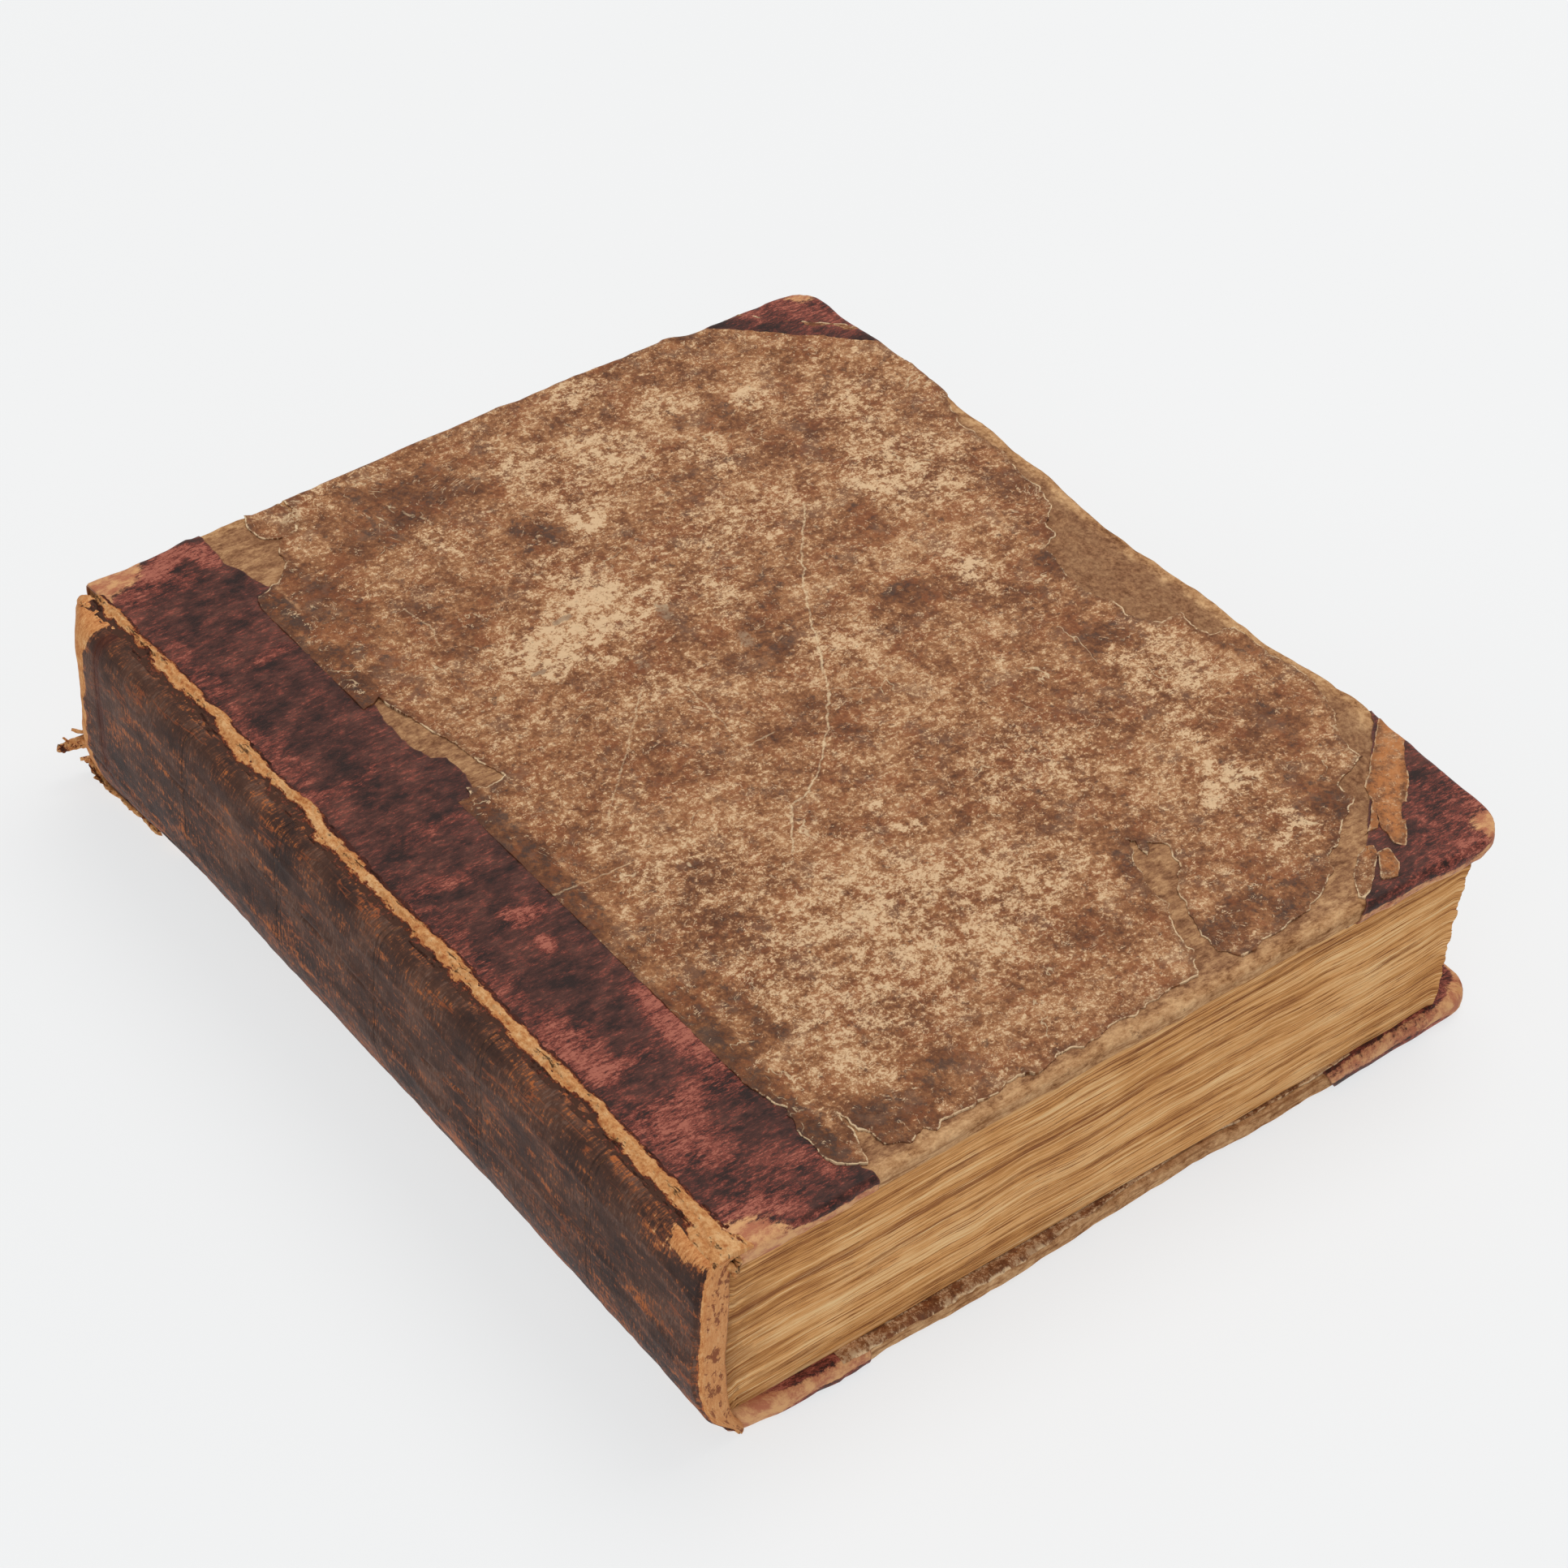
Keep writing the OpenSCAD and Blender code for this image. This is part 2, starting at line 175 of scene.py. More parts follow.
def patches(x, y, spots, wander=4.0):
    """The sum of soft patches, each given by its middle, half width, half height and strength."""
    warped_x = x + wander * rough(x / 8, y / 8, 3.0, 5)
    warped_y = y + wander * rough(x / 8, y / 8, 8.0, 5)
    total = np.zeros_like(x, dtype=float)
    for mid_x, mid_y, half_x, half_y, strength in spots:
        far = np.hypot((warped_x - mid_x) / half_x, (warped_y - mid_y) / half_y)
        total += strength * step(1.3, 0.4, far)
    return total


# Meshes
def to_frame(points):
    """From the book's own millimetres to the shared frame's metres."""
    return np.asarray(points, float) * MM + ORIGIN


def make_piece(name, points, faces, traits, materials, face_materials=None, crease=45):
    """A mesh from points in the book's millimetres. Traits are what the finishes read at each point."""
    mesh = bpy.data.meshes.new(name)
    mesh.from_pydata([tuple(p) for p in to_frame(points)], [], faces)
    for trait, values in traits.items():
        values = np.asarray(values, np.float32)
        if values.ndim == 2:
            mesh.attributes.new(trait, "FLOAT_VECTOR", "POINT").data.foreach_set("vector", values.ravel())
        else:
            mesh.attributes.new(trait, "FLOAT", "POINT").data.foreach_set("value", values)
    for material in materials:
        mesh.materials.append(material)
    if face_materials is not None:
        mesh.polygons.foreach_set("material_index", np.asarray(face_materials, np.int32))
    mesh.shade_smooth()
    mesh.set_sharp_from_angle(angle=math.radians(crease))
    mesh.update()
    piece = bpy.data.objects.new(name, mesh)
    bpy.context.scene.collection.objects.link(piece)
    return piece


def grid_faces(rows, columns, across=False, around=False, flip=False):
    """Quads of a grid of points, closed across its columns or around its rows where asked."""
    faces = []
    for i in range(rows if around else rows - 1):
        for j in range(columns if across else columns - 1):
            a = i * columns + j
            b = i * columns + (j + 1) % columns
            c = (i + 1) % rows * columns + (j + 1) % columns
            d = (i + 1) % rows * columns + j
            faces.append((a, d, c, b) if flip else (a, b, c, d))
    return faces


def loft_faces(rows, columns):
    """Faces of a wall whose rows close on themselves, with both of its ends filled."""
    first = tuple(i * columns for i in range(rows))
    last = tuple(i * columns + columns - 1 for i in reversed(range(rows)))
    return grid_faces(rows, columns, around=True) + [first, last]


def tube_faces(count):
    """Faces of a closed tube of eight-sided rings."""
    ends = [tuple(reversed(range(8))), tuple(range((count - 1) * 8, count * 8))]
    return grid_faces(count, 8, across=True) + ends


def settle(piece, body, node):
    """The piece rides on a body and stands in for a solid, which is hidden."""
    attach(piece, body)
    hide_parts(node)
    return piece


def walk(outline, spacing):
    """A closed outline's points, evenly spaced."""
    corners = np.array(outline, float)
    ends = np.roll(corners, -1, axis=0)
    points = []
    for start, end in zip(corners, ends):
        count = max(1, int(round(np.hypot(*(end - start)) / spacing)))
        share = np.arange(count)[:, None] / count
        points.append(start + (end - start) * share)
    return np.concatenate(points)


def outward(points):
    """The way out at each point of a closed outline."""
    run = np.roll(points, -1, axis=0) - np.roll(points, 1, axis=0)
    run /= np.maximum(np.hypot(run[:, 0], run[:, 1]), 1e-6)[:, None]
    return np.stack([run[:, 1], -run[:, 0]], -1)


def torn(outline, wander, seed):
    """An outline roughened like a tear; wander gives how far it strays at each point."""
    points = walk(outline, 0.7)
    x, y = points.T
    swing = 0.8 * noise(x / 2.6, y / 2.6, seed) + 0.45 * noise(x / 1.1, y / 1.1, seed + 9)
    far = wander(x, y) if callable(wander) else wander
    return points + outward(points) * (swing * far)[:, None]


def even_grid(low, high, spacing, seed):
    """Points in a slightly shaken triangular grid."""
    rng = np.random.default_rng(seed)
    xs = np.arange(low[0], high[0], spacing)
    ys = np.arange(low[1], high[1], spacing * 0.87)
    x, y = np.meshgrid(xs, ys)
    x = x + (np.arange(len(ys)) % 2)[:, None] * spacing / 2
    shake = rng.uniform(-0.2, 0.2, (2,) + x.shape) * spacing
    return np.stack([(x + shake[0]).ravel(), (y + shake[1]).ravel()], -1)


def fill(outlines, inner, clear):
    """Fills closed outlines, with more points inside. Gives points, triangles and edge distances."""
    rim = np.concatenate(outlines)
    tree = kdtree.KDTree(len(rim))
    for i, (x, y) in enumerate(rim):
        tree.insert((x, y, 0), i)
    tree.balance()
    kept = [p for p in inner if tree.find((p[0], p[1], 0))[2] > clear]
    edges = []
    first = 0
    for outline in outlines:
        count = len(outline)
        edges += [(first + i, first + (i + 1) % count) for i in range(count)]
        first += count
    points = [Vector(p) for p in rim] + [Vector(p) for p in kept]
    made, _, triangles, _, _, _ = geometry.delaunay_2d_cdt(points, edges, [], 1, 1e-5)
    used = sorted({i for triangle in triangles for i in triangle})
    number = {old: new for new, old in enumerate(used)}
    made = np.array([tuple(made[i]) for i in used])
    triangles = [tuple(number[i] for i in triangle) for triangle in triangles]
    turned = []
    for a, b, c in triangles:
        u = made[b] - made[a]
        v = made[c] - made[a]
        turned.append((a, b, c) if u[0] * v[1] - u[1] * v[0] > 0 else (a, c, b))
    distance = np.array([tree.find((x, y, 0))[2] for x, y in made])
    return made, turned, distance


def rim_edges(triangles):
    """The directed edges that only one triangle has."""
    seen = set()
    for a, b, c in triangles:
        seen.update(((a, b), (b, c), (c, a)))
    return [(a, b) for a, b in seen if (b, a) not in seen]


# How a cover folds round its board
ARC_OUT = math.pi / 2 * ROUND_OUT
FLAT_EDGE = BOARD_T - ROUND_OUT - ROUND_IN
ARC_IN = math.pi / 2 * ROUND_IN
FOLD_END = ARC_OUT + FLAT_EDGE + ARC_IN + TURN_SHOWN - ROUND_OUT
EDGE_ROWS = [-1.3, -0.75, -0.2, 0.35, 0.9, 1.5, 2.1, 2.7, 3.3, 3.8, 4.3, 5.6, 7.6]


class Cover:
    """One cover, drawn unfolded: X from its joint, Y from the tail, heights from its outer leather face."""

    def __init__(self, side):
        self.side = side
        self.tail_r = TAIL_R[side]
        self.body = side + "_cover"
        self.seed = 3.0 if side == "front" else 40.0

    def fore(self, y):
        """X of the board's rubbed fore-edge."""
        shake = 0.3 * noise(y / 7, self.seed) * step(14, 24, y) * step(262, 254, y)
        return REACH - LEATHER_T + through(STRAY[self.side, "fore"], y) + shake

    def tail_y(self, x):
        """Y of the board's tail edge."""
        return LEATHER_T - through(STRAY[self.side, "tail"], x)

    def head_y(self, x):
        """Y of the board's head edge."""
        return HEIGHT - LEATHER_T + through(STRAY[self.side, "head"], x)

    def corner(self, way):
        """The middle and the radius of the board's rounded corner at the tail or the head."""
        radius = (self.tail_r if way < 0 else HEAD_R) - LEATHER_T
        line = float(self.tail_y(REACH) if way < 0 else self.head_y(REACH))
        middle_y = line - way * radius
        return float(self.fore(middle_y)) - radius, middle_y, radius

    def edge(self, x, y):
        """How far a point lies outside the board's outline, and the way out."""
        side = self.fore(y)
        choices = [(x - side, 1.0, 0.0), (self.tail_y(x) - y, 0.0, -1.0), (y - self.head_y(x), 0.0, 1.0)]
        far = np.full_like(x, -1e9)
        out_x = np.zeros_like(x)
        out_y = np.zeros_like(x)
        for distance, way_x, way_y in choices:
            nearer = distance > far
            far = np.where(nearer, distance, far)
            out_x = np.where(nearer, way_x, out_x)
            out_y = np.where(nearer, way_y, out_y)
        for way in (-1, 1):
            middle_x, middle_y, radius = self.corner(way)
            from_x = x - middle_x
            from_y = way * (y - middle_y)
            round_part = (from_x > 0) & (from_y > 0)
            length = np.maximum(np.hypot(from_x, from_y), 1e-6)
            far = np.where(round_part, length - radius, far)
            out_x = np.where(round_part, from_x / length, out_x)
            out_y = np.where(round_part, way * from_y / length, out_y)
        return far, out_x, out_y

    def swell(self, x, y):
        """Lumps and hollows of the worn board, which what covers it follows."""
        far, _, _ = self.edge(x, y)
        near = step(-9, 0, far)
        lump = 0.35 * noise(x / 9, y / 9, self.seed) + 0.16 * noise(x / 3.1, y / 3.1, self.seed + 4)
        face = 0.09 * noise(x / 22, y / 22, self.seed + 8) + 0.03 * noise(x / 5, y / 5, self.seed + 2)
        corner = np.hypot(x - REACH, np.minimum(y, HEIGHT - y))
        thicker = 0.45 * step(-6, 0, far) if self.side == "rear" else 0
        return face * (1 - near) + lump * near - 0.2 * step(16, 0, corner) + thicker

    def fold(self, x, y, height):
        """Where points of the unfolded cover lie, at a height over the board, in the book's frame."""
        x = np.asarray(x, float)
        y = np.asarray(y, float)
        far, out_x, out_y = self.edge(x, y)
        run = far + ROUND_OUT
        turn_out = np.clip(run / ROUND_OUT, 0, math.pi / 2)
        down = np.clip(run - ARC_OUT, 0, FLAT_EDGE)
        turn_in = np.clip((run - ARC_OUT - FLAT_EDGE) / ROUND_IN, 0, math.pi / 2)
        inward = np.maximum(run - ARC_OUT - FLAT_EDGE - ARC_IN, 0)
        along = np.minimum(run, 0) - ROUND_OUT + ROUND_OUT * np.sin(turn_out)
        along = along - ROUND_IN * (1 - np.cos(turn_in)) - inward
        drop = ROUND_OUT * (1 - np.cos(turn_out)) + down + ROUND_IN * np.sin(turn_in)
        tilt = turn_out + turn_in
        lift = height + self.swell(x, y) * step(FOLD_END - 2, 3, far)
        near_x = x - out_x * far
        near_y = y - out_y * far
        px = near_x + out_x * (along + lift * np.sin(tilt))
        py = near_y + out_y * (along + lift * np.sin(tilt))
        pz = BOARD_FACE - drop + lift * np.cos(tilt)
        return self.place(np.stack([px, py, pz], -1))

    def place(self, points):
        """Puts the cover's own points in the closed book."""
        points = np.array(points, float)
        if self.side == "front":
            return points + [0, 0, THICKNESS]
        points = points * [1, 1, -1] - [LEAN, 0, 0]
        points[:, 2] = np.maximum(points[:, 2], 0.03)
        return points

    def turned(self, faces):
        """The rear cover is a mirror of the front one, so its faces turn over."""
        return faces if self.side == "front" else [tuple(reversed(face)) for face in faces]

    def rows(self, spacing=1.5):
        """Points in rows along the three edges, close enough together to bend round them."""
        found = []
        side_y = np.arange(self.corner(-1)[1], self.corner(1)[1], spacing)
        for far in EDGE_ROWS:
            for way in (-1, 1):
                middle_x, middle_y, radius = self.corner(way)
                x = np.arange(JOINT_W, middle_x, spacing)
                y = self.tail_y(x) if way < 0 else self.head_y(x)
                found.append(np.stack([x, y + way * far], -1))
                turns = np.linspace(0, math.pi / 2, max(4, int((radius + far) * 1.6 / spacing)))
                found.append(np.stack([middle_x + (radius + far) * np.cos(turns),
                                       middle_y + way * (radius + far) * np.sin(turns)], -1))
            found.append(np.stack([self.fore(side_y) + far, side_y], -1))
        return np.concatenate(found)

    def inner_points(self, spacing, low, high, seed):
        """Points to fill a sheet with: a grid on the face and rows round the edges."""
        grid = even_grid(low, high, spacing, seed)
        far, _, _ = self.edge(grid[:, 0], grid[:, 1])
        return np.concatenate([grid[far < EDGE_ROWS[0] - spacing / 2], self.rows()])

    def round_corners(self, far):
        """The outline that lies a distance outside the board's own, from the tail to the head."""
        points = []
        for way in (-1, 1):
            middle_x, middle_y, radius = self.corner(way)
            xs = np.append(np.arange(JOINT_W, middle_x - 3, 6.0), middle_x)
            ys = self.tail_y(xs) if way < 0 else self.head_y(xs)
            line = list(zip(xs, ys + way * far))[:-1]
            turns = np.linspace(0, math.pi / 2, 13)
            turn = [(middle_x + (radius + far) * math.cos(a), middle_y + way * (radius + far) * math.sin(a))
                    for a in turns]
            if way < 0:
                points += line + turn[::-1]
                for y in np.arange(middle_y + 4, self.corner(1)[1] - 2, 6.0):
                    points.append((float(self.fore(y)) + far, y))
            else:
                points += turn + line[::-1]
        return points


def inside(points, outline):
    """Which points lie inside a closed outline."""
    x, y = np.asarray(points, float).T
    corners = np.asarray(outline, float)
    found = np.zeros(len(x), bool)
    for (x0, y0), (x1, y1) in zip(corners, np.roll(corners, -1, axis=0)):
        crosses = (y0 > y) != (y1 > y)
        if y0 != y1:
            found ^= crosses & (x < (x1 - x0) * (y - y0) / (y1 - y0) + x0)
    return found


def make_sheet(cover, name, node, outlines, spacing, relief, traits, material):
    """A thin sheet of leather or paper on a cover, from its unfolded outlines."""
    corners = np.concatenate(outlines)
    inner = cover.inner_points(spacing, corners.min(0) - 1, corners.max(0) + 1, 1)
    near = [outline[::2] + outward(outline)[::2] * way for outline in outlines for way in (0.5, -0.5)]
    inner = np.concatenate([inner] + near)
    kept = np.zeros(len(inner), bool)
    for outline in outlines:
        kept |= inside(inner, outline)
    flat, triangles, distance = fill(outlines, inner[kept], 0.36)
    x, y = flat.T
    top = relief(x, y, distance)
    upper = cover.fold(x, y, top)
    lower = cover.fold(x, y, np.minimum(0.04, top - 0.02))
    count = len(flat)
    faces = list(triangles)
    faces += [(c + count, b + count, a + count) for a, b, c in triangles]
    faces += [(b, a, a + count, b + count) for a, b in rim_edges(triangles)]
    values = {"place": np.tile(np.stack([x, y, top], -1), (2, 1)),
              "rim": np.concatenate([distance, np.zeros(count)])}
    for trait, value in traits(x, y).items():
        values[trait] = np.tile(value, 2)
    piece = make_piece(name, np.concatenate([upper, lower]), cover.turned(faces), values, [material])
    return settle(piece, cover.body, node)


def make_board(cover, material):
    """The greyboard slab: its face and edges folded from one sheet, then its spine edge and its back."""
    outline = walk(cover.round_corners(FOLD_END), 1.6)
    inner = cover.inner_points(1.9, outline.min(0), outline.max(0), 5)
    inner = inner[inside(inner, outline)]
    flat, triangles, _ = fill([outline], inner, 0.5)
    x, y = flat.T
    grain = 0.07 * rough(x / 2.4, y / 2.4, cover.seed, 3)
    far, _, _ = cover.edge(x, y)
    fibres = 0.22 * noise(x / 6, y / 6, 5) * step(-2, 1, far) * step(8, 5, far)
    points = cover.fold(x, y, grain + fibres)
    following = dict(rim_edges(triangles))
    start = min(following, key=lambda i: (abs(x[i] - JOINT_W) > 0.01, y[i]))
    loop = [start]
    while following[loop[-1]] != start:
        loop.append(following[loop[-1]])
    on_spine = [i for i in loop if abs(x[i] - JOINT_W) < 0.01]
    low_end = min(on_spine, key=lambda i: y[i])
    high_end = max(on_spine, key=lambda i: y[i])
    turn = loop.index(low_end)
    loop = loop[turn:] + loop[:turn]
    split = loop.index(high_end)
    ring = loop[:split + 1]
    spine_side = loop[split:] + [low_end]
    faces = list(triangles) + [tuple(reversed(ring)), tuple(reversed(spine_side))]
    values = {"place": np.stack([x, y, far], -1)}
    piece = make_piece(cover.side + "_board_slab", points, cover.turned(faces), values, [material],
                       crease=60)
    return settle(piece, cover.body, cover.side + "_board")


# Finishes
class Amount:
    """A number that varies over a surface, so that sums on it add nodes."""

    def __init__(self, finish, socket):
        self.finish = finish
        self.socket = socket

    def __add__(self, other):
        return self.finish.math("ADD", self, other)

    __radd__ = __add__

    def __sub__(self, other):
        return self.finish.math("SUBTRACT", self, other)

    def __rsub__(self, other):
        return self.finish.math("SUBTRACT", other, self)

    def __mul__(self, other):
        return self.finish.math("MULTIPLY", self, other)

    __rmul__ = __mul__

    def clip(self):
        """The amount, held between 0 and 1."""
        return self.finish.math("ADD", self, 0.0, clamp=True)

    def size(self):
        """The amount without its sign."""
        return self.finish.math("ABSOLUTE", self)

    def most(self, other):
        return self.finish.math("MAXIMUM", self, other)

    def least(self, other):
        return self.finish.math("MINIMUM", self, other)


class Finish:
    """A material whose colours come from a piece's own traits, in millimetres."""

    def __init__(self, name, roughness=0.7, specular=0.3, from_object=False):
        self.material = bpy.data.materials.new(name)
        self.material.use_nodes = True
        self.tree = self.material.node_tree
        self.shader = self.tree.nodes["Principled BSDF"]
        self.shader.inputs["Roughness"].default_value = roughness
        self.shader.inputs["Specular IOR Level"].default_value = specular
        if from_object:
            whole = self.node("ShaderNodeTexCoord", out="Object")
            self.place = self.node("ShaderNodeVectorMath", {"operation": "MULTIPLY_ADD"},
                                   {0: whole, 1: (1 / MM,) * 3, 2: tuple(-ORIGIN / MM)})
        else:
            self.place = self.node("ShaderNodeAttribute", {"attribute_name": "place"}, out="Vector")
        parts = self.node("ShaderNodeSeparateXYZ", {}, {0: self.place}, out=None)
        self.x, self.y, self.z = (Amount(self, socket) for socket in parts.outputs)

    def node(self, kind, settings=None, sockets=None, out=0):
        """Adds a node: its settings first, then its sockets' values or links. Gives one of its outputs."""
        node = self.tree.nodes.new(kind)
        for setting, value in (settings or {}).items():
            setattr(node, setting, value)
        for socket, value in (sockets or {}).items():
            self.join(value, node.inputs[socket])
        return node if out is None else node.outputs[out]

    def join(self, value, socket):
        """Links an amount or a node's output to a socket, or sets the socket's own value."""
        if isinstance(value, Amount):
            value = value.socket
        if isinstance(value, bpy.types.NodeSocket):
            self.tree.links.new(value, socket)
        elif socket.type == "RGBA" and len(value) == 3:
            socket.default_value = (*value, 1.0)
        else:
            socket.default_value = value

    def math(self, operation, *values, clamp=False):
        """A sum on amounts or numbers."""
        settings = {"operation": operation, "use_clamp": clamp}
        return Amount(self, self.node("ShaderNodeMath", settings, dict(enumerate(values))))

    def trait(self, name):
        """A number that the piece holds at each point."""
        return Amount(self, self.node("ShaderNodeAttribute", {"attribute_name": name}, out="Fac"))

    def step(self, value, low, high):
        """Rises smoothly from 0 to 1 between two values, or falls if the first is the higher."""
        sockets = {"Value": value, "From Min": low, "From Max": high}
        return Amount(self, self.node("ShaderNodeMapRange", {"interpolation_type": "SMOOTHSTEP"}, sockets))

    def noise(self, size, detail=4.0, roughness=0.55, stretch=(1, 1, 1), shift=0.0, warp=0.0):
        """Noise with features of a size in millimetres."""
        place = self.node("ShaderNodeVectorMath", {"operation": "MULTIPLY_ADD"},
                          {0: self.place, 1: stretch, 2: (shift, shift / 2, -shift)})
        sockets = {"Vector": place, "Scale": 1 / size, "Detail": detail, "Roughness": roughness,
                   "Distortion": warp}
        return Amount(self, self.node("ShaderNodeTexNoise", {}, sockets))

    def mix(self, amount, one, other):
        """A colour between two colours."""
        settings = {"data_type": "RGBA", "clamp_factor": True}
        return self.node("ShaderNodeMix", settings, {0: amount, 6: one, 7: other}, out=2)

    def coats(self, colour, *coats):
        """Lays coats over a colour: each has a mask, how strongly it covers, and its own colour."""
        for mask, share, over in coats:
            colour = self.mix(mask * share, colour, over)
        return colour

    def ramp(self, amount, *stops):
        """A colour from stops, each a place and a colour."""
        node = self.node("ShaderNodeValToRGB", {}, {0: amount}, out=None)
        points = node.color_ramp.elements
        while len(points) < len(stops):
            points.new(0.5)
        for point, (place, colour) in zip(points, stops):
            point.position = place
            point.color = (*colour, 1.0)
        return node.outputs[0]

    def stroke(self, start, end, width, sway=0.0):
        """A soft thin line between two places of the piece's X and Y."""
        (x0, y0), (x1, y1) = start, end
        length = math.hypot(x1 - x0, y1 - y0)
        cos = (x1 - x0) / length
        sin = (y1 - y0) / length
        along = self.x * cos + self.y * sin - (x0 * cos + y0 * sin)
        aside = self.y * cos - self.x * sin - (y0 * cos - x0 * sin) + sway
        within = self.step(along, -0.8, 0.2) * self.step(along, length + 0.8, length - 0.2)
        return within * self.step(aside.size(), width, width * 0.3)

    def finish(self, colour, roughness=None, height=None, depth=0.3):
        """Joins the colour, roughness and relief to the shader. Depth is the relief's in millimetres."""
        self.join(colour, self.shader.inputs["Base Color"])
        if roughness is not None:
            self.join(roughness, self.shader.inputs["Roughness"])
        if height is not None:
            sockets = {"Strength": 1.0, "Distance": depth * MM, "Height": height}
            self.join(self.node("ShaderNodeBump", {}, sockets), self.shader.inputs["Normal"])
        return self.material


def tint(red, green, blue):
    """A colour as the eye reads it, from 0 to 255, made linear for the shader."""
    parts = [c / 255 for c in (red, green, blue)]
    return tuple(c / 12.92 if c <= 0.04045 else ((c + 0.055) / 1.055) ** 2.4 for c in parts)


# Colours of the paper, the board, the leathers and the page edges
UMBER = tint(84, 50, 32)
BROWN = tint(122, 75, 45)
TAWNY = tint(161, 108, 68)
SAND = tint(198, 150, 107)
SOOT = tint(74, 58, 50)
CREAM = tint(230, 197, 156)
CORE = tint(236, 206, 164)
AMBER = tint(188, 118, 64)
TAN_BOARD = tint(186, 137, 93)
DEEP = tint(45, 29, 26)
MAROON = tint(78, 45, 38)
RED_RUB = tint(142, 68, 56)
PINK = tint(184, 112, 92)
SPINE_DARK = tint(80, 54, 43)
SPINE_BROWN = tint(108, 75, 59)
RUST = tint(158, 84, 48)
ORANGE = tint(186, 106, 54)
HONEY_DARK = tint(168, 110, 64)
HONEY = tint(226, 168, 108)
HONEY_LIGHT = tint(242, 202, 146)


def side_paper_finish():
    """Brown side paper, rubbed through to its cream body in flecks, flakes and scratches, with painted shade
    in a band just inside its torn edges.
    """
    f = Finish("side paper", roughness=0.65, specular=0.18)
    cloud = f.noise(26, 3, 0.55, shift=4)
    mottle = f.noise(6.5, 5, 0.62, shift=9)
    fleck = f.noise(1.7, 8, 0.84, shift=2, warp=0.3)
    speck = f.noise(0.6, 4, 0.75, shift=31)
    fibre = f.noise(1.0, 6, 0.78, stretch=(0.4, 1, 1), shift=61)
    pale = f.trait("pale").least(1.0)
    middling = f.noise(3.4, 7, 0.78, shift=120)
    dark = f.trait("dark") * (f.step(middling, 0.36, 0.58) * 0.9 + 0.45)
    tone = mottle * 0.5 + cloud * 0.4 + fleck * 0.9 + middling * 0.4 - dark * 0.14 + pale * 0.05
    base = f.ramp((tone - 0.775).clip(), (0.1, UMBER), (0.24, BROWN), (0.36, TAWNY), (0.48, SAND))
    red = f.step(f.noise(8, 6, 0.72, shift=140), 0.5, 0.6)
    dull = f.step(f.noise(10, 6, 0.72, shift=160), 0.52, 0.62)
    soot = f.step(f.noise(4.5, 7, 0.76, shift=50) + dark * 0.1, 0.58, 0.66)
    broken_pale = pale * (f.step(middling, 0.42, 0.6) * 0.17 + 0.03)
    worn = fleck * 0.9 + fibre * 0.45 + mottle * 0.25 + middling * 0.2 + cloud * 0.15
    worn = worn + broken_pale - dark * 0.15
    scuffed = f.step(worn, 0.99, 1.05)
    rubbed = f.step(worn + (speck - 0.5) * 0.6, 1.055, 1.085)
    spotted = f.step(f.noise(1.4, 6, 0.8, shift=300) + dark * 0.04, 0.6, 0.64)
    line = f.noise(42, 5, 0.55, shift=83, warp=0.4)
    broken = f.step(f.noise(11, 5, 0.7, shift=70), 0.53, 0.62)
    crack = f.step((line - 0.5).size(), 0.0035, 0.0012) * broken
    nick = f.noise(13, 6, 0.66, shift=203, warp=0.8)
    chosen = f.step(f.noise(3.2, 5, 0.75, shift=230), 0.52, 0.57)
    nicks = f.step((nick - 0.5).size(), 0.009, 0.003).most(f.step((nick - 0.58).size(), 0.008, 0.003))
    sway = (f.noise(5, 4, 0.6, shift=210) - 0.5) * 3.0
    strokes = [f.stroke(start, end, 0.42, sway) for start, end in zip(SCRATCH, SCRATCH[1:])]
    strokes += [f.stroke(start, end, 0.36, sway) * 0.6 for start, end in SCRAPES]
    scratch = functools.reduce(Amount.most, strokes)
    ridge = f.step((f.x - 39.4 + (mottle - 0.5) * 2).size(), 1.0, 0.2) * f.step(mottle, 0.45, 0.6)
    amber = f.trait("amber")
    grey = f.step(f.trait("grey") + (fleck - 0.5) * 1.6, 0.4, 0.6)
    rim = f.trait("rim") + (speck - 0.5) * 0.7 + (mottle - 0.5) * 0.9
    bitten = f.step(f.noise(4, 4, 0.7, shift=91), 0.46, 0.56)
    colour = f.coats(
        base, (red, 0.35, tint(154, 86, 48)), (dull, 0.35, tint(122, 96, 78)), (soot, 0.6, SOOT),
        (scuffed, 0.5, SAND), (rubbed, 0.8, CREAM), (spotted, 0.55, SOOT), (crack, 0.6, CORE),
        (nicks * chosen, 0.75, CREAM), (scratch, f.step(fibre, 0.42, 0.56) * 0.55 + 0.2, CORE),
        (ridge * f.step(fleck, 0.4, 0.6), 0.8, SAND),
        (amber, f.step(middling + (fleck - 0.5) * 0.5, 0.42, 0.56), AMBER),
        # The umber coat on the next line, from 0.5 to 2.4 mm inside the torn rim, is painted shade beside
        # the paper's edge.
        (grey, 0.75, tint(156, 130, 104)), (f.step(rim, 2.4, 0.5), 0.3, UMBER),
        (f.step(rim, 0.45, 0.1) * (1 - f.trait("cut")) * bitten, 0.85 - amber * 0.45, CORE))
    height = mottle * 0.6 + fleck * 0.9 + speck * 0.25 - crack * 0.5 - scratch * 0.4
    return f.finish(colour, scuffed * 0.2 + 0.52, height, depth=0.3)


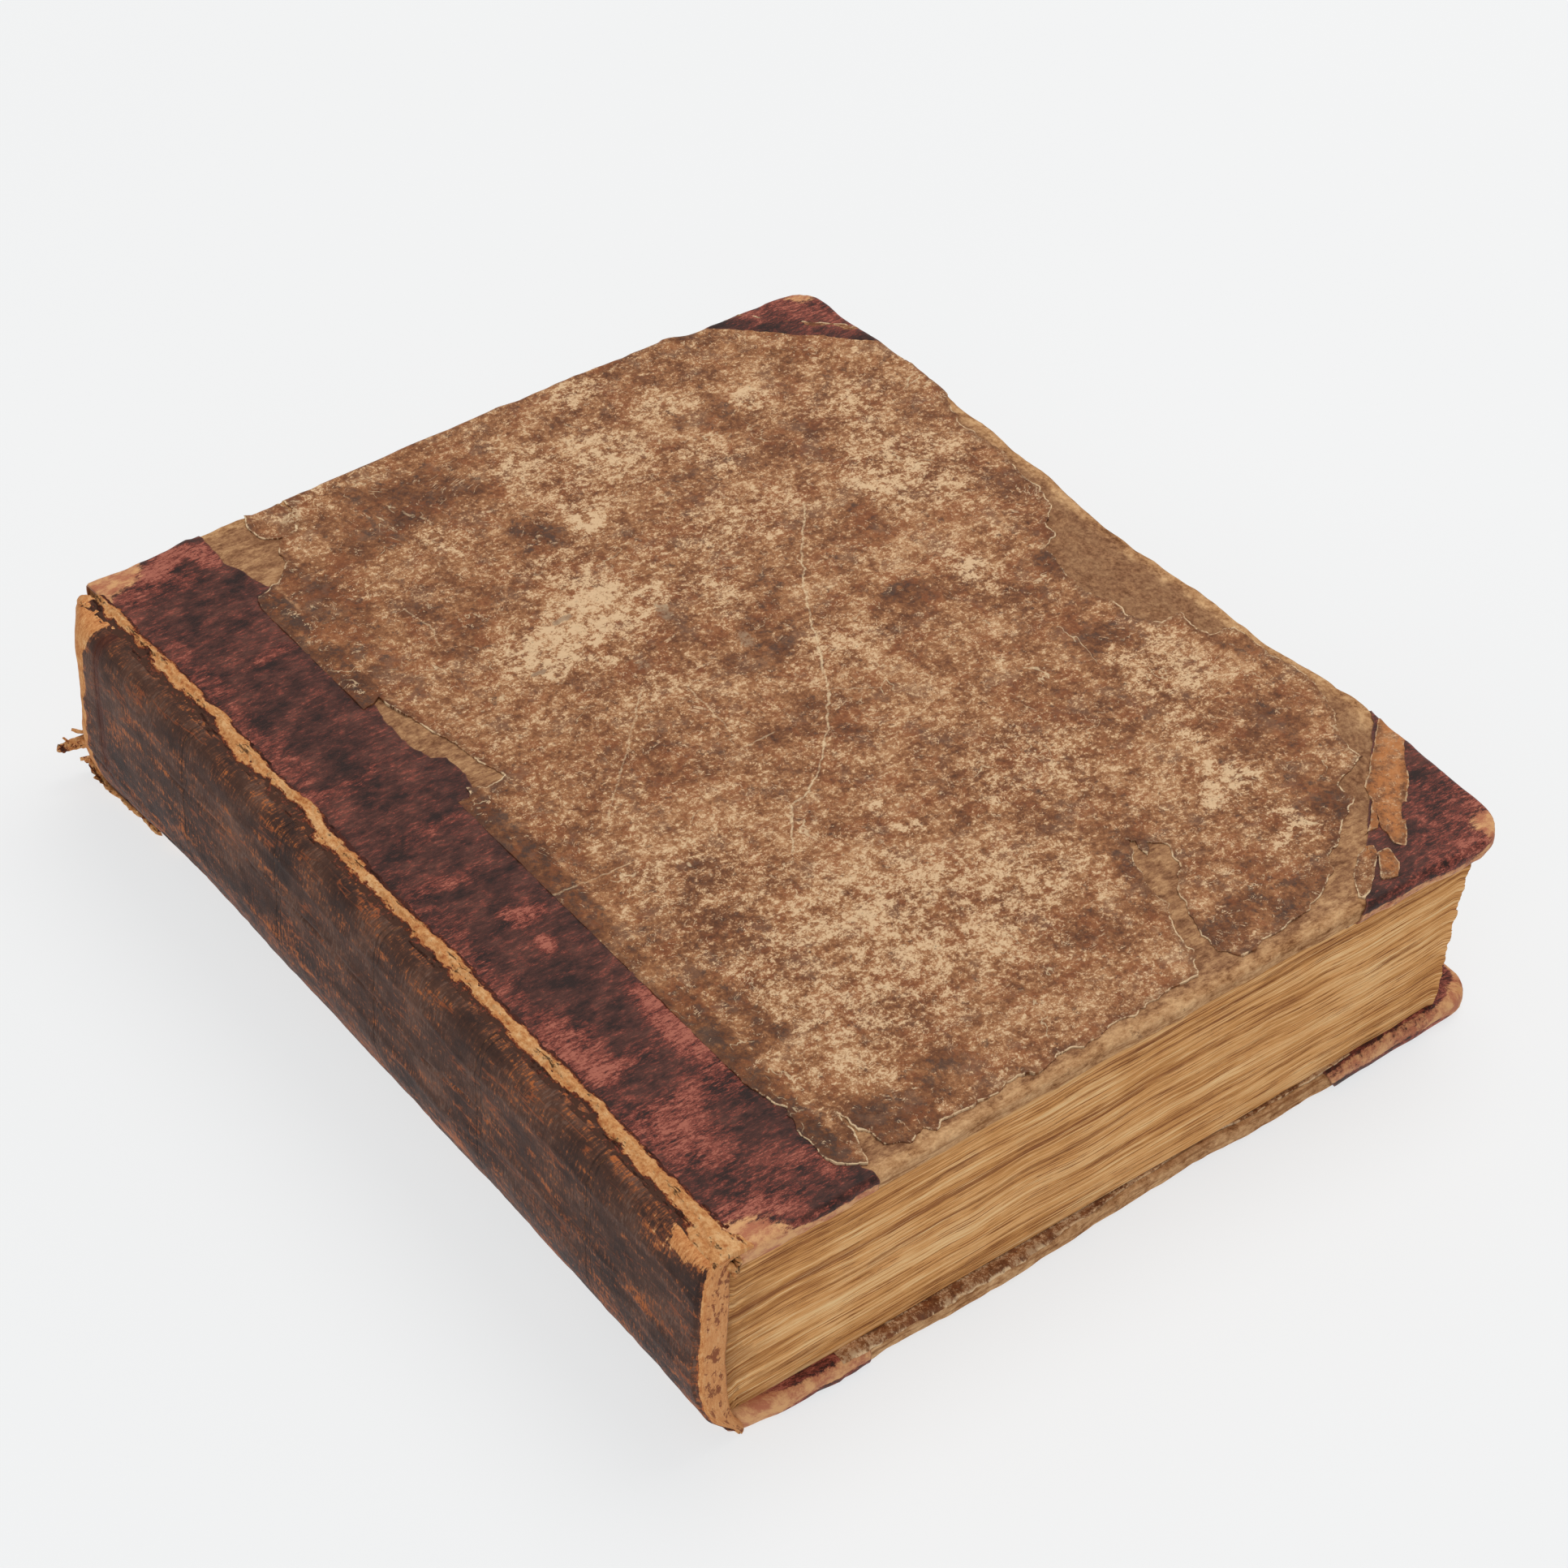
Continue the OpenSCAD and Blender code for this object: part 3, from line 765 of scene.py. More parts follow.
def board_finish():
    """Bare greyboard: fibrous and tan at its rubbed edges, browner where only the paper was skinned off."""
    f = Finish("greyboard", roughness=0.9, specular=0.08)
    blotch = f.noise(8, 6, 0.68, shift=5)
    mottle = f.noise(2.6, 7, 0.78, shift=61)
    fibre = f.noise(1.3, 8, 0.82, stretch=(0.4, 1, 1), shift=12)
    speck = f.noise(0.5, 5, 0.75, shift=3)
    tone = blotch * 0.6 + mottle * 0.6 + fibre * 0.6
    flat = f.ramp((tone - 0.6).clip(), (0.13, tint(112, 74, 50)), (0.24, tint(146, 102, 72)),
                  (0.34, tint(182, 136, 96)), (0.48, tint(216, 172, 126)))
    skinned = f.step(f.x, 196, 205) * f.step(f.x, 229, 219) * f.step(blotch, 0.36, 0.54)
    under = f.mix(f.step(fibre, 0.4, 0.6), tint(116, 78, 56), tint(158, 116, 84))
    flat = f.mix(skinned * 0.55, flat, under)
    worn = f.ramp((tone - 0.6).clip(), (0.14, tint(122, 77, 46)), (0.27, TAN_BOARD),
                  (0.44, tint(224, 180, 132)))
    edge = f.step(f.z + (blotch - 0.5) * 8 + (mottle - 0.5) * 4, -5.0, -1.5)
    layer = f.step(f.noise(0.8, 3, 0.6, stretch=(0.05, 0.05, 1.0), shift=8), 0.5, 0.62)
    side = f.step(f.z, 0.2, 1.2) * f.step(f.z, 6, 5)
    stain = f.step(f.noise(3.4, 7, 0.78, shift=40), 0.57, 0.66)
    colour = f.coats(f.mix(edge, flat, worn), (layer * side, 0.6, tint(128, 76, 40)),
                     (stain, 0.6, tint(112, 68, 42)))
    height = blotch * 0.5 + mottle * 0.6 + fibre + speck * 0.3
    return f.finish(colour, None, height, depth=0.4)


def cover_leather_finish():
    """Dark maroon leather, flecked pink along its straight grain where it is rubbed."""
    f = Finish("cover leather", roughness=0.5, specular=0.14)
    grain = f.noise(0.45, 3, 0.6, shift=22)
    cloud = f.noise(12, 4, 0.6, shift=1)
    patch = f.noise(4, 7, 0.76, stretch=(0.55, 1, 1), shift=5)
    streak = f.noise(0.65, 7, 0.84, stretch=(0.3, 1, 1), shift=7)
    rub = f.trait("rub")
    tone = f.ramp((cloud * 0.5 + patch * 0.6 + streak * 0.4 - 0.5).clip(), (0.14, DEEP),
                  (0.25, MAROON), (0.38, tint(102, 65, 54)))
    amount = streak * 0.95 + patch * 0.35 + cloud * 0.25 + rub * 0.16
    red = f.step(amount, 0.815, 0.88)
    bare = f.step(amount + (grain - 0.5) * 0.2, 0.9, 0.95)
    worn = f.trait("worn") + (patch - 0.5) * 0.9 + (streak - 0.5) * 1.1
    tan = f.mix(f.step(patch, 0.4, 0.6), tint(176, 108, 78), tint(214, 162, 112))
    rim = f.trait("rim") + (streak - 0.5) * 0.3
    colour = f.coats(tone, (red, 0.66, RED_RUB), (bare, 0.72, PINK), (f.step(worn, 0.5, 0.72), 1.0, tan),
                     (f.step(rim, 0.35, 0.1), 0.5, tint(120, 74, 60)))
    height = streak * 0.6 + grain * 0.35 + patch * 0.3
    return f.finish(colour, red * 0.2 + 0.42, height, depth=0.16)


def spine_leather_finish():
    """Dark brown spine leather, streaked with rust, worn to suede at its ends and along its foot."""
    f = Finish("spine leather", roughness=0.58, specular=0.09)
    grain = f.noise(0.5, 3, 0.65, shift=2)
    weft = f.noise(0.7, 3, 0.6, stretch=(0.3, 1, 1), shift=33)
    cloud = f.noise(16, 4, 0.6, shift=21)
    fleck = f.noise(0.75, 7, 0.8, stretch=(0.32, 1, 1), shift=6)
    run = f.noise(2.0, 7, 0.76, stretch=(1, 0.14, 1), shift=15)
    patch = f.noise(5, 6, 0.74, stretch=(1, 0.4, 1), shift=51)
    worn = f.trait("worn")
    foot = f.step(f.x, 44, 14)
    tone = f.ramp((cloud * 0.5 + fleck * 0.3 + run * 0.3 + patch * 0.3 - foot * 0.05 - 0.5).clip(),
                  (0.08, tint(56, 40, 35)), (0.2, SPINE_DARK), (0.32, SPINE_BROWN))
    threads = f.step(weft, 0.53, 0.62) * f.step(cloud + patch * 0.4, 0.68, 0.76)
    amount = fleck * 0.75 + run * 0.2 + patch * 0.4 + worn * 0.16 + foot * 0.03
    scuff = f.step(amount, 0.695, 0.76)
    bright = f.step(amount + (run - 0.5) * 0.4, 0.755, 0.8)
    crease = f.noise(18, 5, 0.6, stretch=(1.3, 0.2, 1), shift=37)
    cracks = f.step((crease - 0.5).size(), 0.008, 0.003) * f.step(patch, 0.42, 0.56)
    lines = [f.step((f.y - (middle + side)).size(), 0.34, 0.16) for middle in TOOLED for side in (-0.9, 0.9)]
    tooled = functools.reduce(Amount.most, lines)
    gilt = f.mix(f.step(fleck, 0.52, 0.6), tint(40, 29, 25), tint(140, 92, 54))
    band = f.step((f.y - TOOLED[-1] + (patch - 0.5) * 4).size(), 3.0, 0.6)
    colour = f.coats(
        tone, (threads, 0.35, tint(130, 104, 90)),
        (scuff, 0.6, f.mix(foot, tint(128, 76, 52), tint(136, 74, 48))), (bright, 0.75, ORANGE),
        (cracks, 0.6, RUST), (tooled, 0.5, gilt), (band, 0.5, tint(88, 40, 28)))
    suede = f.ramp((fleck * 0.8 + patch * 0.5 + grain * 0.3 - 0.5).clip(), (0.16, tint(172, 100, 56)),
                   (0.32, tint(212, 148, 92)), (0.48, tint(230, 184, 132)))
    bare = f.step(worn + (fleck - 0.5) + (patch - 0.5) * 1.2, 0.52, 0.64)
    cap = f.step(f.z, 1.0, 2.5)
    spots = f.step(f.noise(3.2, 6, 0.72, shift=44) - (f.z - 4.5).size() * 0.02, 0.5, 0.56) * cap
    colour = f.coats(f.mix(bare, colour, suede), (cap, 0.5, tint(208, 148, 98)),
                     (spots, 0.8, tint(116, 58, 42)))
    height = grain * 0.35 + weft * 0.3 + fleck * 0.5 + run * 0.4 - tooled * 0.5
    return f.finish(colour, bare * 0.3 + 0.52, height, depth=0.24)


def joint_finish():
    """The leather ridge along a joint, worn to tan suede, cracked, and speckled where it meets the grain;
    its cracks are dark partly in their own colour and partly by painted shade.
    """
    f = Finish("joint leather", roughness=0.85, specular=0.1)
    fleck = f.noise(1.5, 8, 0.8, stretch=(1, 0.6, 1), shift=3)
    run = f.noise(1.7, 6, 0.75, stretch=(1, 0.16, 1), shift=9)
    pit = f.noise(1.2, 5, 0.75, shift=14)
    patch = f.noise(9, 4, 0.6, shift=77)
    away = f.trait("away")
    suede = f.ramp((fleck * 0.7 + pit * 0.5 + patch * 0.3 - 0.45).clip(), (0.14, tint(164, 90, 50)),
                   (0.28, tint(208, 146, 90)), (0.44, tint(236, 190, 136)))
    edge = away + (fleck - 0.5) * 1.6 + (run - 0.5) + (patch - 0.5) * 0.8 - 0.05
    colour = f.mix(f.step(edge, 0.42, 0.5), suede, tint(166, 84, 54))
    cover_side = f.step(f.x, -0.6, 0.8)
    grainy = f.mix(f.step(pit, 0.55, 0.66), f.mix(cover_side, SPINE_DARK, MAROON), tint(150, 78, 58))
    # Dark cracks in the ridge: partly the cracked leather's own colour, partly painted shade in the cracks'
    # depth.
    cracks_and_shade = f.step(run * 0.75 + pit * 0.35, 0.61, 0.67)
    colour = f.coats(f.mix(f.step(edge, 0.52, 0.62), colour, grainy), (cracks_and_shade, 0.85, tint(66, 36, 26)))
    height = fleck * 0.8 - cracks_and_shade * 1.4 + run * 0.6 - f.step(edge, 0.4, 0.7) * 0.6
    return f.finish(colour, None, height, depth=0.5)


def page_edge_finish():
    """The pages' edges: hundreds of wavy leaves, honey-brown, with darker and paler gatherings, and painted
    shade on the highest leaves under the front board.
    """
    f = Finish("page edges", roughness=0.9, specular=0.08)
    leaf = f.noise(0.33, 4, 0.76, stretch=(0.014, 0.014, 1), shift=5)
    sheaf = f.noise(2.1, 5, 0.75, stretch=(0.01, 0.01, 1), shift=11)
    batch = f.noise(6, 3, 0.5, stretch=(0.03, 0.03, 1), shift=2)
    cloud = f.noise(22, 4, 0.6, shift=8)
    grime = f.noise(4, 7, 0.75, stretch=(0.3, 0.3, 1), shift=19)
    tone = leaf + sheaf * 0.55 + batch * 0.3 + cloud * 0.3
    honey = f.ramp((tone - 0.7).clip(), (0.22, HONEY_DARK), (0.32, tint(202, 144, 84)), (0.42, HONEY),
                   (0.54, HONEY_LIGHT))
    between = f.step(sheaf + (grime - 0.5) * 0.5, 0.43, 0.38)
    dark_line = f.step(leaf + (grime - 0.5) * 0.5 + (sheaf - 0.5) * 0.3, 0.43, 0.38)
    pale_line = f.step(leaf + (grime - 0.5) * 0.3, 0.58, 0.64)
    near_spine = f.step(f.x + (grime - 0.5) * 60, 22, -2) * f.step(grime, 0.45, 0.6)
    colour = f.coats(
        honey, (between, 0.3, tint(126, 74, 46)), (dark_line, 0.66, tint(124, 74, 46)),
        (pale_line, 0.5, tint(238, 202, 150)), (near_spine, 0.7, tint(112, 68, 42)),
        # The darker coat on the highest leaves is painted shade from the front board's overhang.
        (f.step(f.z, 45.4, 48.2), 0.4, tint(132, 82, 46)))
    height = leaf * 0.7 + sheaf
    return f.finish(colour, None, height, depth=0.35)


def leaf_finish(name, from_object=False):
    """Old paper: foxed, stained, browned towards its edges, and darkened near the joint by painted gutter
    shade.
    """
    f = Finish(name, roughness=0.9, specular=0.08, from_object=from_object)
    cloud = f.noise(34, 5, 0.62, shift=2)
    blot = f.noise(11, 6, 0.7, shift=25)
    fox = f.step(f.noise(4.2, 5, 0.7, shift=15) + (cloud - 0.5) * 0.3, 0.6, 0.7)
    fibre = f.noise(1.2, 5, 0.7, shift=4)
    paper = f.ramp((cloud * 0.8 + blot * 0.4 + fibre * 0.25 - 0.45).clip(), (0.16, tint(184, 142, 90)),
                   (0.3, tint(212, 172, 118)), (0.46, tint(228, 194, 144)))
    middle = HEIGHT / 2
    end_on = f.step((f.y - middle).size() + (blot - 0.5) * 26, middle - 34, middle - 2)
    # side_on browns the fore-edge side and, within 16 mm of the joint, adds painted gutter shade.
    side_on = f.step(f.x.size() + (blot - 0.5) * 26, REACH - 40, REACH - 6).most(f.step(f.x.size(), 16, 1))
    colour = f.coats(paper, (fox, 0.45, tint(162, 108, 62)), (end_on.most(side_on), 0.6, tint(168, 118, 70)))
    height = fibre + cloud * 2 + blot
    return f.finish(colour, None, height, depth=0.12)


def cord_finish():
    """Pale twisted hemp."""
    f = Finish("sewing cord", roughness=0.85, specular=0.2, from_object=True)
    twist = f.noise(0.8, 3, 0.6, stretch=(1, 0.4, 1.6), shift=1)
    colour = f.mix(twist, tint(150, 122, 84), tint(204, 182, 140))
    return f.finish(colour, None, twist, depth=0.25)


def lining_finish():
    """Soft worn paper."""
    f = Finish("spine lining", roughness=0.9, specular=0.15)
    weave = f.noise(0.7, 4, 0.6, shift=3)
    colour = f.mix(weave, tint(176, 150, 112), tint(206, 184, 146))
    return f.finish(colour, None, weave, depth=0.12)


# Long scratches across the side paper
SCRATCH = [(167.7, 198.2), (154.8, 182.8), (144, 166.1), (136.9, 153), (127.6, 135.4), (118.8, 124.1),
           (108.5, 113.9), (99.1, 107.5), (94.8, 106.6), (85.1, 93.7)]
SCRAPES = [((60.5, 223), (62, 214)), ((62, 214), (60, 206)), ((90.7, 162.5), (74, 145.2)),
           ((74, 145.2), (56.8, 129)), ((125.5, 136.9), (138.2, 128.3)), ((100.3, 157.1), (99, 137.1)),
           ((97, 130.4), (107, 130.1)), ((30, 114), (52, 113))]


# Spots on the front cover, unfolded: the middle, half width, half height and strength of each
PALE_SPOTS = [
    (88, 190, 24, 12, 0.9), (104, 194, 14, 12, 0.9), (76, 182, 10, 8, 0.9), (117, 258, 9, 8, 0.9),
    (117, 226, 7, 9, 1.0), (99, 213, 12, 9, 0.5), (127, 182, 9, 14, 0.6), (163, 254, 9, 9, 0.6),
    (183, 243, 10, 8, 0.8), (160, 228, 8, 9, 0.5), (183, 52, 8, 9, 1.2), (184, 32, 8, 5, 1.0),
    (186, 151, 7, 11, 0.8), (188, 72, 6, 7, 0.8), (112, 88, 3, 5, 1.2), (55, 234, 3, 6, 0.8),
    (63, 60, 30, 24, 0.4), (110, 52, 34, 22, 0.5), (90, 72, 22, 10, 0.4), (130, 240, 24, 14, 0.45),
    (95, 160, 16, 7, 0.4), (140, 146, 20, 9, 0.4), (150, 204, 26, 14, 0.4), (200, 196, 18, 24, 0.6),
    (62, 276, 10, 4, 0.6), (150, 274, 12, 6, 0.6), (140, 250, 12, 12, 0.5), (85, 241, 6, 6, 0.4),
    (200, 92, 14, 16, 0.6), (62, 100, 20, 16, 0.35), (150, 84, 20, 14, 0.35), (205, 228, 14, 12, 0.5),
    (190, 195, 10, 6, 0.6), (66, 34, 24, 14, 0.3),
]
DARK_SPOTS = [
    (104, 232, 8, 9, 0.8), (110, 224, 5, 5, 0.6), (125, 158, 11, 6, 0.7), (164, 155, 9, 6, 0.6),
    (201, 143, 7, 8, 0.6), (138, 176, 5, 8, 0.6), (46, 232, 14, 28, 0.45), (84, 258, 28, 12, 0.5),
    (163, 15, 18, 10, 0.8), (199, 36, 8, 9, 0.8), (58, 14, 18, 9, 0.6), (192, 111, 11, 8, 0.5),
    (148, 45, 5, 16, 0.5), (170, 240, 6, 9, 0.6), (125, 35, 18, 8, 0.2), (210, 60, 8, 10, 0.4),
    (44, 60, 5, 20, 0.5), (44, 110, 5, 24, 0.4), (220, 84, 4, 10, 0.6), (176, 182, 8, 8, 0.4),
    (120, 130, 16, 8, 0.25), (70, 215, 10, 8, 0.35), (190, 170, 8, 6, 0.4),
]
GREY_SPOTS = [
    (73.3, 181.9, 3.4, 1.3, 0.9), (90, 196, 3.4, 1.5, 0.8), (112, 184, 3, 6, 0.55), (122, 163, 3, 5, 0.55),
    (152, 41, 4.0, 5.5, 0.7), (103, 84, 3, 2, 0.5), (95, 169, 3, 4, 0.5),
]
RUB_SPOTS = [
    (22, 275, 12, 4, 1.2), (32, 272, 5, 6, 1.1), (12, 268, 14, 8, 0.5), (24, 227, 8, 3, 0.5),
    (23, 114, 6, 4, 1.1), (21, 103, 3, 3, 0.9), (29, 70, 4, 12, 0.8), (14, 132, 12, 3, 0.4),
    (12, 60, 14, 4, 0.4), (14, 42, 14, 8, 0.7), (16, 14, 18, 12, 0.35), (10, 6, 12, 6, 0.5),
    (34, 12, 6, 8, 0.4), (30, 52, 6, 18, 0.75), (8, 70, 8, 14, 0.5), (12, 30, 10, 8, 0.6),
    (14, 175, 14, 3, 0.3), (20, 150, 12, 3, 0.3), (5, 90, 5, 60, 0.35), (5, 210, 5, 50, 0.35),
]

# What is left of the torn side paper, unfolded
FRONT_PAPER = [
    (31.5, 40), (33.9, 30), (33.6, 25), (31.8, 21), (32.2, 15), (31.9, 10.6), (33.8, 8), (36.6, 5.6),
    (38.8, 5), (40, 7.5), (41.6, 12.5), (42.8, 21), (43.6, 14), (45.3, 12), (45.3, 7.5), (48, 6.2),
    (50.6, 4.1), (55, 6), (57, 4.1), (64, 5.4), (72, 4.2), (78, 6.2), (86, 4.2), (93, 5.8), (101, 4.4),
    (110, 6), (118, 5), (127, 6.8), (134, 6), (138.4, 13.2), (139.4, 20), (144.4, 27.8), (143.6, 33.6),
    (146.6, 42.2), (150.8, 50.6), (152.4, 49), (151, 43), (154, 46.5), (157.5, 43.4), (154.3, 35.8),
    (149.1, 29.9), (145.9, 22.7), (143.9, 14.7), (142.9, 9.4), (146.8, 5.1), (155, 5.5), (163.1, 6.6),
    (174.2, 9), (182.6, 13.7), (185.4, 17.7), (191.3, 20.7), (198.2, 25.6), (203.5, 29.2), (204, 35.2),
    (210, 37.2), (216.3, 39), (215.4, 43.5), (218, 50), (223.5, 58.5), (225.4, 66), (225.6, 74),
    (224.2, 82), (223.6, 94), (216.9, 95.6), (215.5, 101), (216.6, 106.5), (210.4, 106.6), (205.6, 112),
    (206.4, 121), (203, 127), (204, 138), (206.6, 147), (213, 150.4), (212.4, 154), (219, 160), (222, 168),
    (220.6, 176), (223.4, 184), (222.8, 203), (224.8, 208), (227, 213), (229, 216), (230, 246), (228, 252),
    (203.6, 277.6), (199, 279), (190, 280.4), (184, 283), (60, 284), (59, 275), (52, 268), (47, 262),
    (47, 257), (40.4, 251), (33, 249), (31.5, 244), (31.5, 196), (34, 196.6), (36.9, 197.8), (38.6, 188),
    (42.3, 176), (44, 163.1), (45.6, 156), (40, 155), (36, 157), (34.6, 153.6), (31.5, 154),
]
HEAD_ISLAND = [
    (45.4, 273.7), (46.9, 269), (50.2, 266.6), (55.7, 267.4), (58, 271), (58.4, 276), (57, 282),
    (50, 283), (46.4, 278),
]
REMNANTS = [
    [(226, 45), (216.2, 36.6), (208.8, 30.6), (206.2, 25.8), (200.6, 20.3), (197, 18.4), (201, 18),
     (204.2, 21.7), (201.8, 17.3), (200.5, 12), (202, 9.6), (207.4, 14.8), (214, 21.4), (227.5, 35),
     (231, 39), (232, 48), (228, 47)],
    [(194.4, 15.3), (196, 14.1), (194.8, 11.3), (187.9, 5.5), (182, 2), (181.3, 3.7), (185.6, 9.6),
     (191, 14.1)],
    [(195, 11.9), (198, 11.4), (197, 6.2), (193.2, 3.1), (189.4, 4.4), (191.6, 7.9)],
]


def front_paper_wander(x, y):
    """The paper's cut edge along the leather is straight; the rest is torn."""
    cut = (np.abs(x - STRIP_SHOWN) < 0.8) & (y > 42)
    beyond = (y > HEIGHT + 2) | (x > REACH)
    return np.where(cut | beyond, 0.1, 0.75)


def past_diagonal(x, y):
    """How far a point lies past the diagonal edge of the corner's leather at its own end."""
    return np.where(y < HEIGHT / 2, x - y, x + y - HEIGHT) - (REACH - CORNER_LEG)


def paper_relief(x, y, distance):
    """The paper's height over the board: stepped up over the pared leather, and curled at its torn rim."""
    lap = PARED_T * step(STRIP_W + 1.1, STRIP_W - 0.4, x)
    lap = np.maximum(lap, PARED_T * step(-0.9, 0.7, past_diagonal(x, y)))
    curl = 0.5 * step(1.8, 0, distance) * np.clip(noise(x / 5, y / 5, 2.0), 0, 1)
    cockle = 0.05 * rough(x / 7, y / 7, 6.0, 3)
    return PAPER_T + lap + curl + cockle


def leather_relief(x, y, distance):
    """The leather's height over the board: full where it shows, and pared thin under the paper."""
    bare = step(STRIP_SHOWN + 0.5, STRIP_SHOWN - 0.2, x)
    full = PARED_T + (LEATHER_T - PARED_T) * bare * step(0, 0.8, distance)
    return full + 0.05 * rough(x / 5, y / 5, 1.0, 3)


def corner_relief(x, y, distance):
    """The height of a corner's leather, pared towards its diagonal edge."""
    full = PARED_T + (LEATHER_T - PARED_T) * step(8, 13, past_diagonal(x, y))
    return full + 0.05 * rough(x / 5, y / 5, 1.0, 3)


def strip_traits(cover):
    """Gives the function for a leather strip's rubbed and worn places."""
    def traits(x, y):
        far, _, _ = cover.edge(x, y)
        rub = patches(x, y, RUB_SPOTS, 2.0) if cover.side == "front" else 0.3 * np.ones_like(x)
        rub = np.clip(rub, 0, 1) + 0.3 * step(-2.5, 0.5, far)
        worn = 0.85 * step(17, 3, np.hypot(x - 6, y * 1.1)) + 0.8 * step(0.2, 1.6, far) * step(4.6, 3.4, far)
        worn = worn + 0.45 * step(4.2, 1.6, x) + 0.8 * step(10, 4, np.hypot(x - 1, y))
        worn = worn + 0.95 * step(17, 7, np.hypot(x - 5, (HEIGHT - y) * 1.2))
        return {"rub": rub, "worn": worn}
    return traits


def corner_traits(cover):
    """Gives the function for a leather corner's rubbed and worn places."""
    def traits(x, y):
        far, _, _ = cover.edge(x, y)
        nearest = np.minimum(y, HEIGHT - y)
        tip = np.hypot(x - REACH + 3, nearest - 3)
        rub = 0.5 * step(34, 8, tip) + 0.3 * step(-4, 1, far)
        worn = 0.9 * step(11, 2, tip) + 0.75 * step(0.4, 1.8, far) * step(4.8, 3.6, far)
        return {"rub": rub, "worn": worn}
    return traits


def leather_outline(cover):
    """The leather strip beside the joint, unfolded, with its hidden pared edge."""
    start = 1.4 if cover.side == "front" else 2.2
    low = LEATHER_T - FOLD_END
    high = HEIGHT - LEATHER_T + FOLD_END
    if cover.side == "rear":
        return [(start, low), (STRIP_W, low), (STRIP_W, high), (start, high)]
    return [
        (start, low), (37.6, low), (38.4, -3), (38.6, 2.6), (37.2, 4.6), (38.6, 8), (39, 30), (39.3, 80),
        (38.8, 120), (38.9, 150), (36.8, 154.6), (38.4, 162), (38.3, 169.7), (34.9, 171.5), (33.7, 176.8),
        (33.5, 189.4), (35, 197), (38.8, 200), (39.1, 230), (38.6, 250), (37.2, 252), (36.3, 257.5),
        (34, 266.5), (34.2, 279.6), (35, 283), (36, high), (start, high),
    ]


def corner_outline(cover, end):
    """A corner's leather, unfolded: outside a diagonal line, out to the end of the turn-ins."""
    def from_end(y):
        return y if end == "tail" else HEIGHT - y

    line_x = REACH - CORNER_LEG
    low = LEATHER_T - FOLD_END
    side = float(cover.fore(from_end(CORNER_LEG))) + FOLD_END
    reach = side - line_x
    rim = [p for p in cover.round_corners(FOLD_END) if p[0] > line_x + 4 and from_end(p[1]) < reach - 5]
    first = [(line_x - 3, low), (line_x + 4, low)]
    last = [(side, reach - 5), (side, reach + 3), (REACH - 1, CORNER_LEG - 1), (line_x, -0.5)]
    if end == "tail":
        return first + rim + last
    first, last = ([(x, HEIGHT - y) for x, y in reversed(part)] for part in (first, last))
    return last + rim + first


def paper_traits(x, y):
    """Pale, dark, amber and grey places of the front side paper, and where its edge was cut."""
    cut = (np.abs(x - STRIP_SHOWN) < 1.6) & (y > 40)
    lap = step(38.6, 37.6, x) * (0.7 + 0.4 * noise(y / 9, 5.0))
    remnant = step(177, 179, x - y) * step(52, 44, y) * step(190, 194, x)
    return {"pale": patches(x, y, PALE_SPOTS), "dark": patches(x, y, DARK_SPOTS, 6.0) + lap,
            "cut": cut * 1.0, "amber": 0.85 * remnant, "grey": patches(x, y, GREY_SPOTS, 1.0)}


def plain_paper_traits(x, y):
    """The same for the rear side paper, which the photograph doesn't show."""
    return {"pale": 0.15 + 0.3 * noise(x / 30, y / 30, 2), "dark": 0.4 * noise(x / 24, y / 24, 9),
            "cut": (np.abs(x - STRIP_SHOWN) < 1.6) * 1.0, "amber": 0 * x, "grey": 0 * x}


def whole_paper(cover):
    """The rear cover's side paper, unfolded: whole, but rubbed off along the board's edges."""
    low = 3.4
    high = HEIGHT - 3.0
    ys = np.arange(CORNER_SHOWN + 2, HEIGHT - CORNER_SHOWN, 4.0)
    fore = [(float(cover.fore(y)) - 3.0 + 1.4 * float(noise(y / 7, 51.0)), y) for y in ys]
    along = np.arange(STRIP_SHOWN + 4, REACH - CORNER_SHOWN, 4.0)
    tail = [(x, low + 1.5 * float(noise(x / 8, 61.0))) for x in along]
    head = [(x, high + 1.5 * float(noise(x / 8, 71.0))) for x in along[::-1]]
    return ([(STRIP_SHOWN, low)] + tail + [(REACH - CORNER_SHOWN, 4.0)] + fore
            + [(REACH - CORNER_SHOWN, high)] + head + [(STRIP_SHOWN, high)])


def turn_in_outline(cover):
    """The side paper's turn-ins, which are left inside the front board where its edges are rubbed bare."""
    inner = FOLD_END
    outer = ARC_OUT + FLAT_EDGE + ARC_IN - ROUND_OUT + 0.3
    tail_near = LEATHER_T - outer
    tail_far = LEATHER_T - inner
    tail = [(STRIP_SHOWN, tail_far), (REACH - CORNER_SHOWN, tail_far),
            (REACH - CORNER_SHOWN, tail_near), (STRIP_SHOWN, tail_near)]
    ys = np.arange(CORNER_SHOWN, HEIGHT - CORNER_SHOWN + 1, 5.0)
    near = [(float(cover.fore(y)) + outer, y) for y in ys]
    beyond = [(float(cover.fore(y)) + inner, y) for y in ys]
    return tail, beyond[::-1] + near


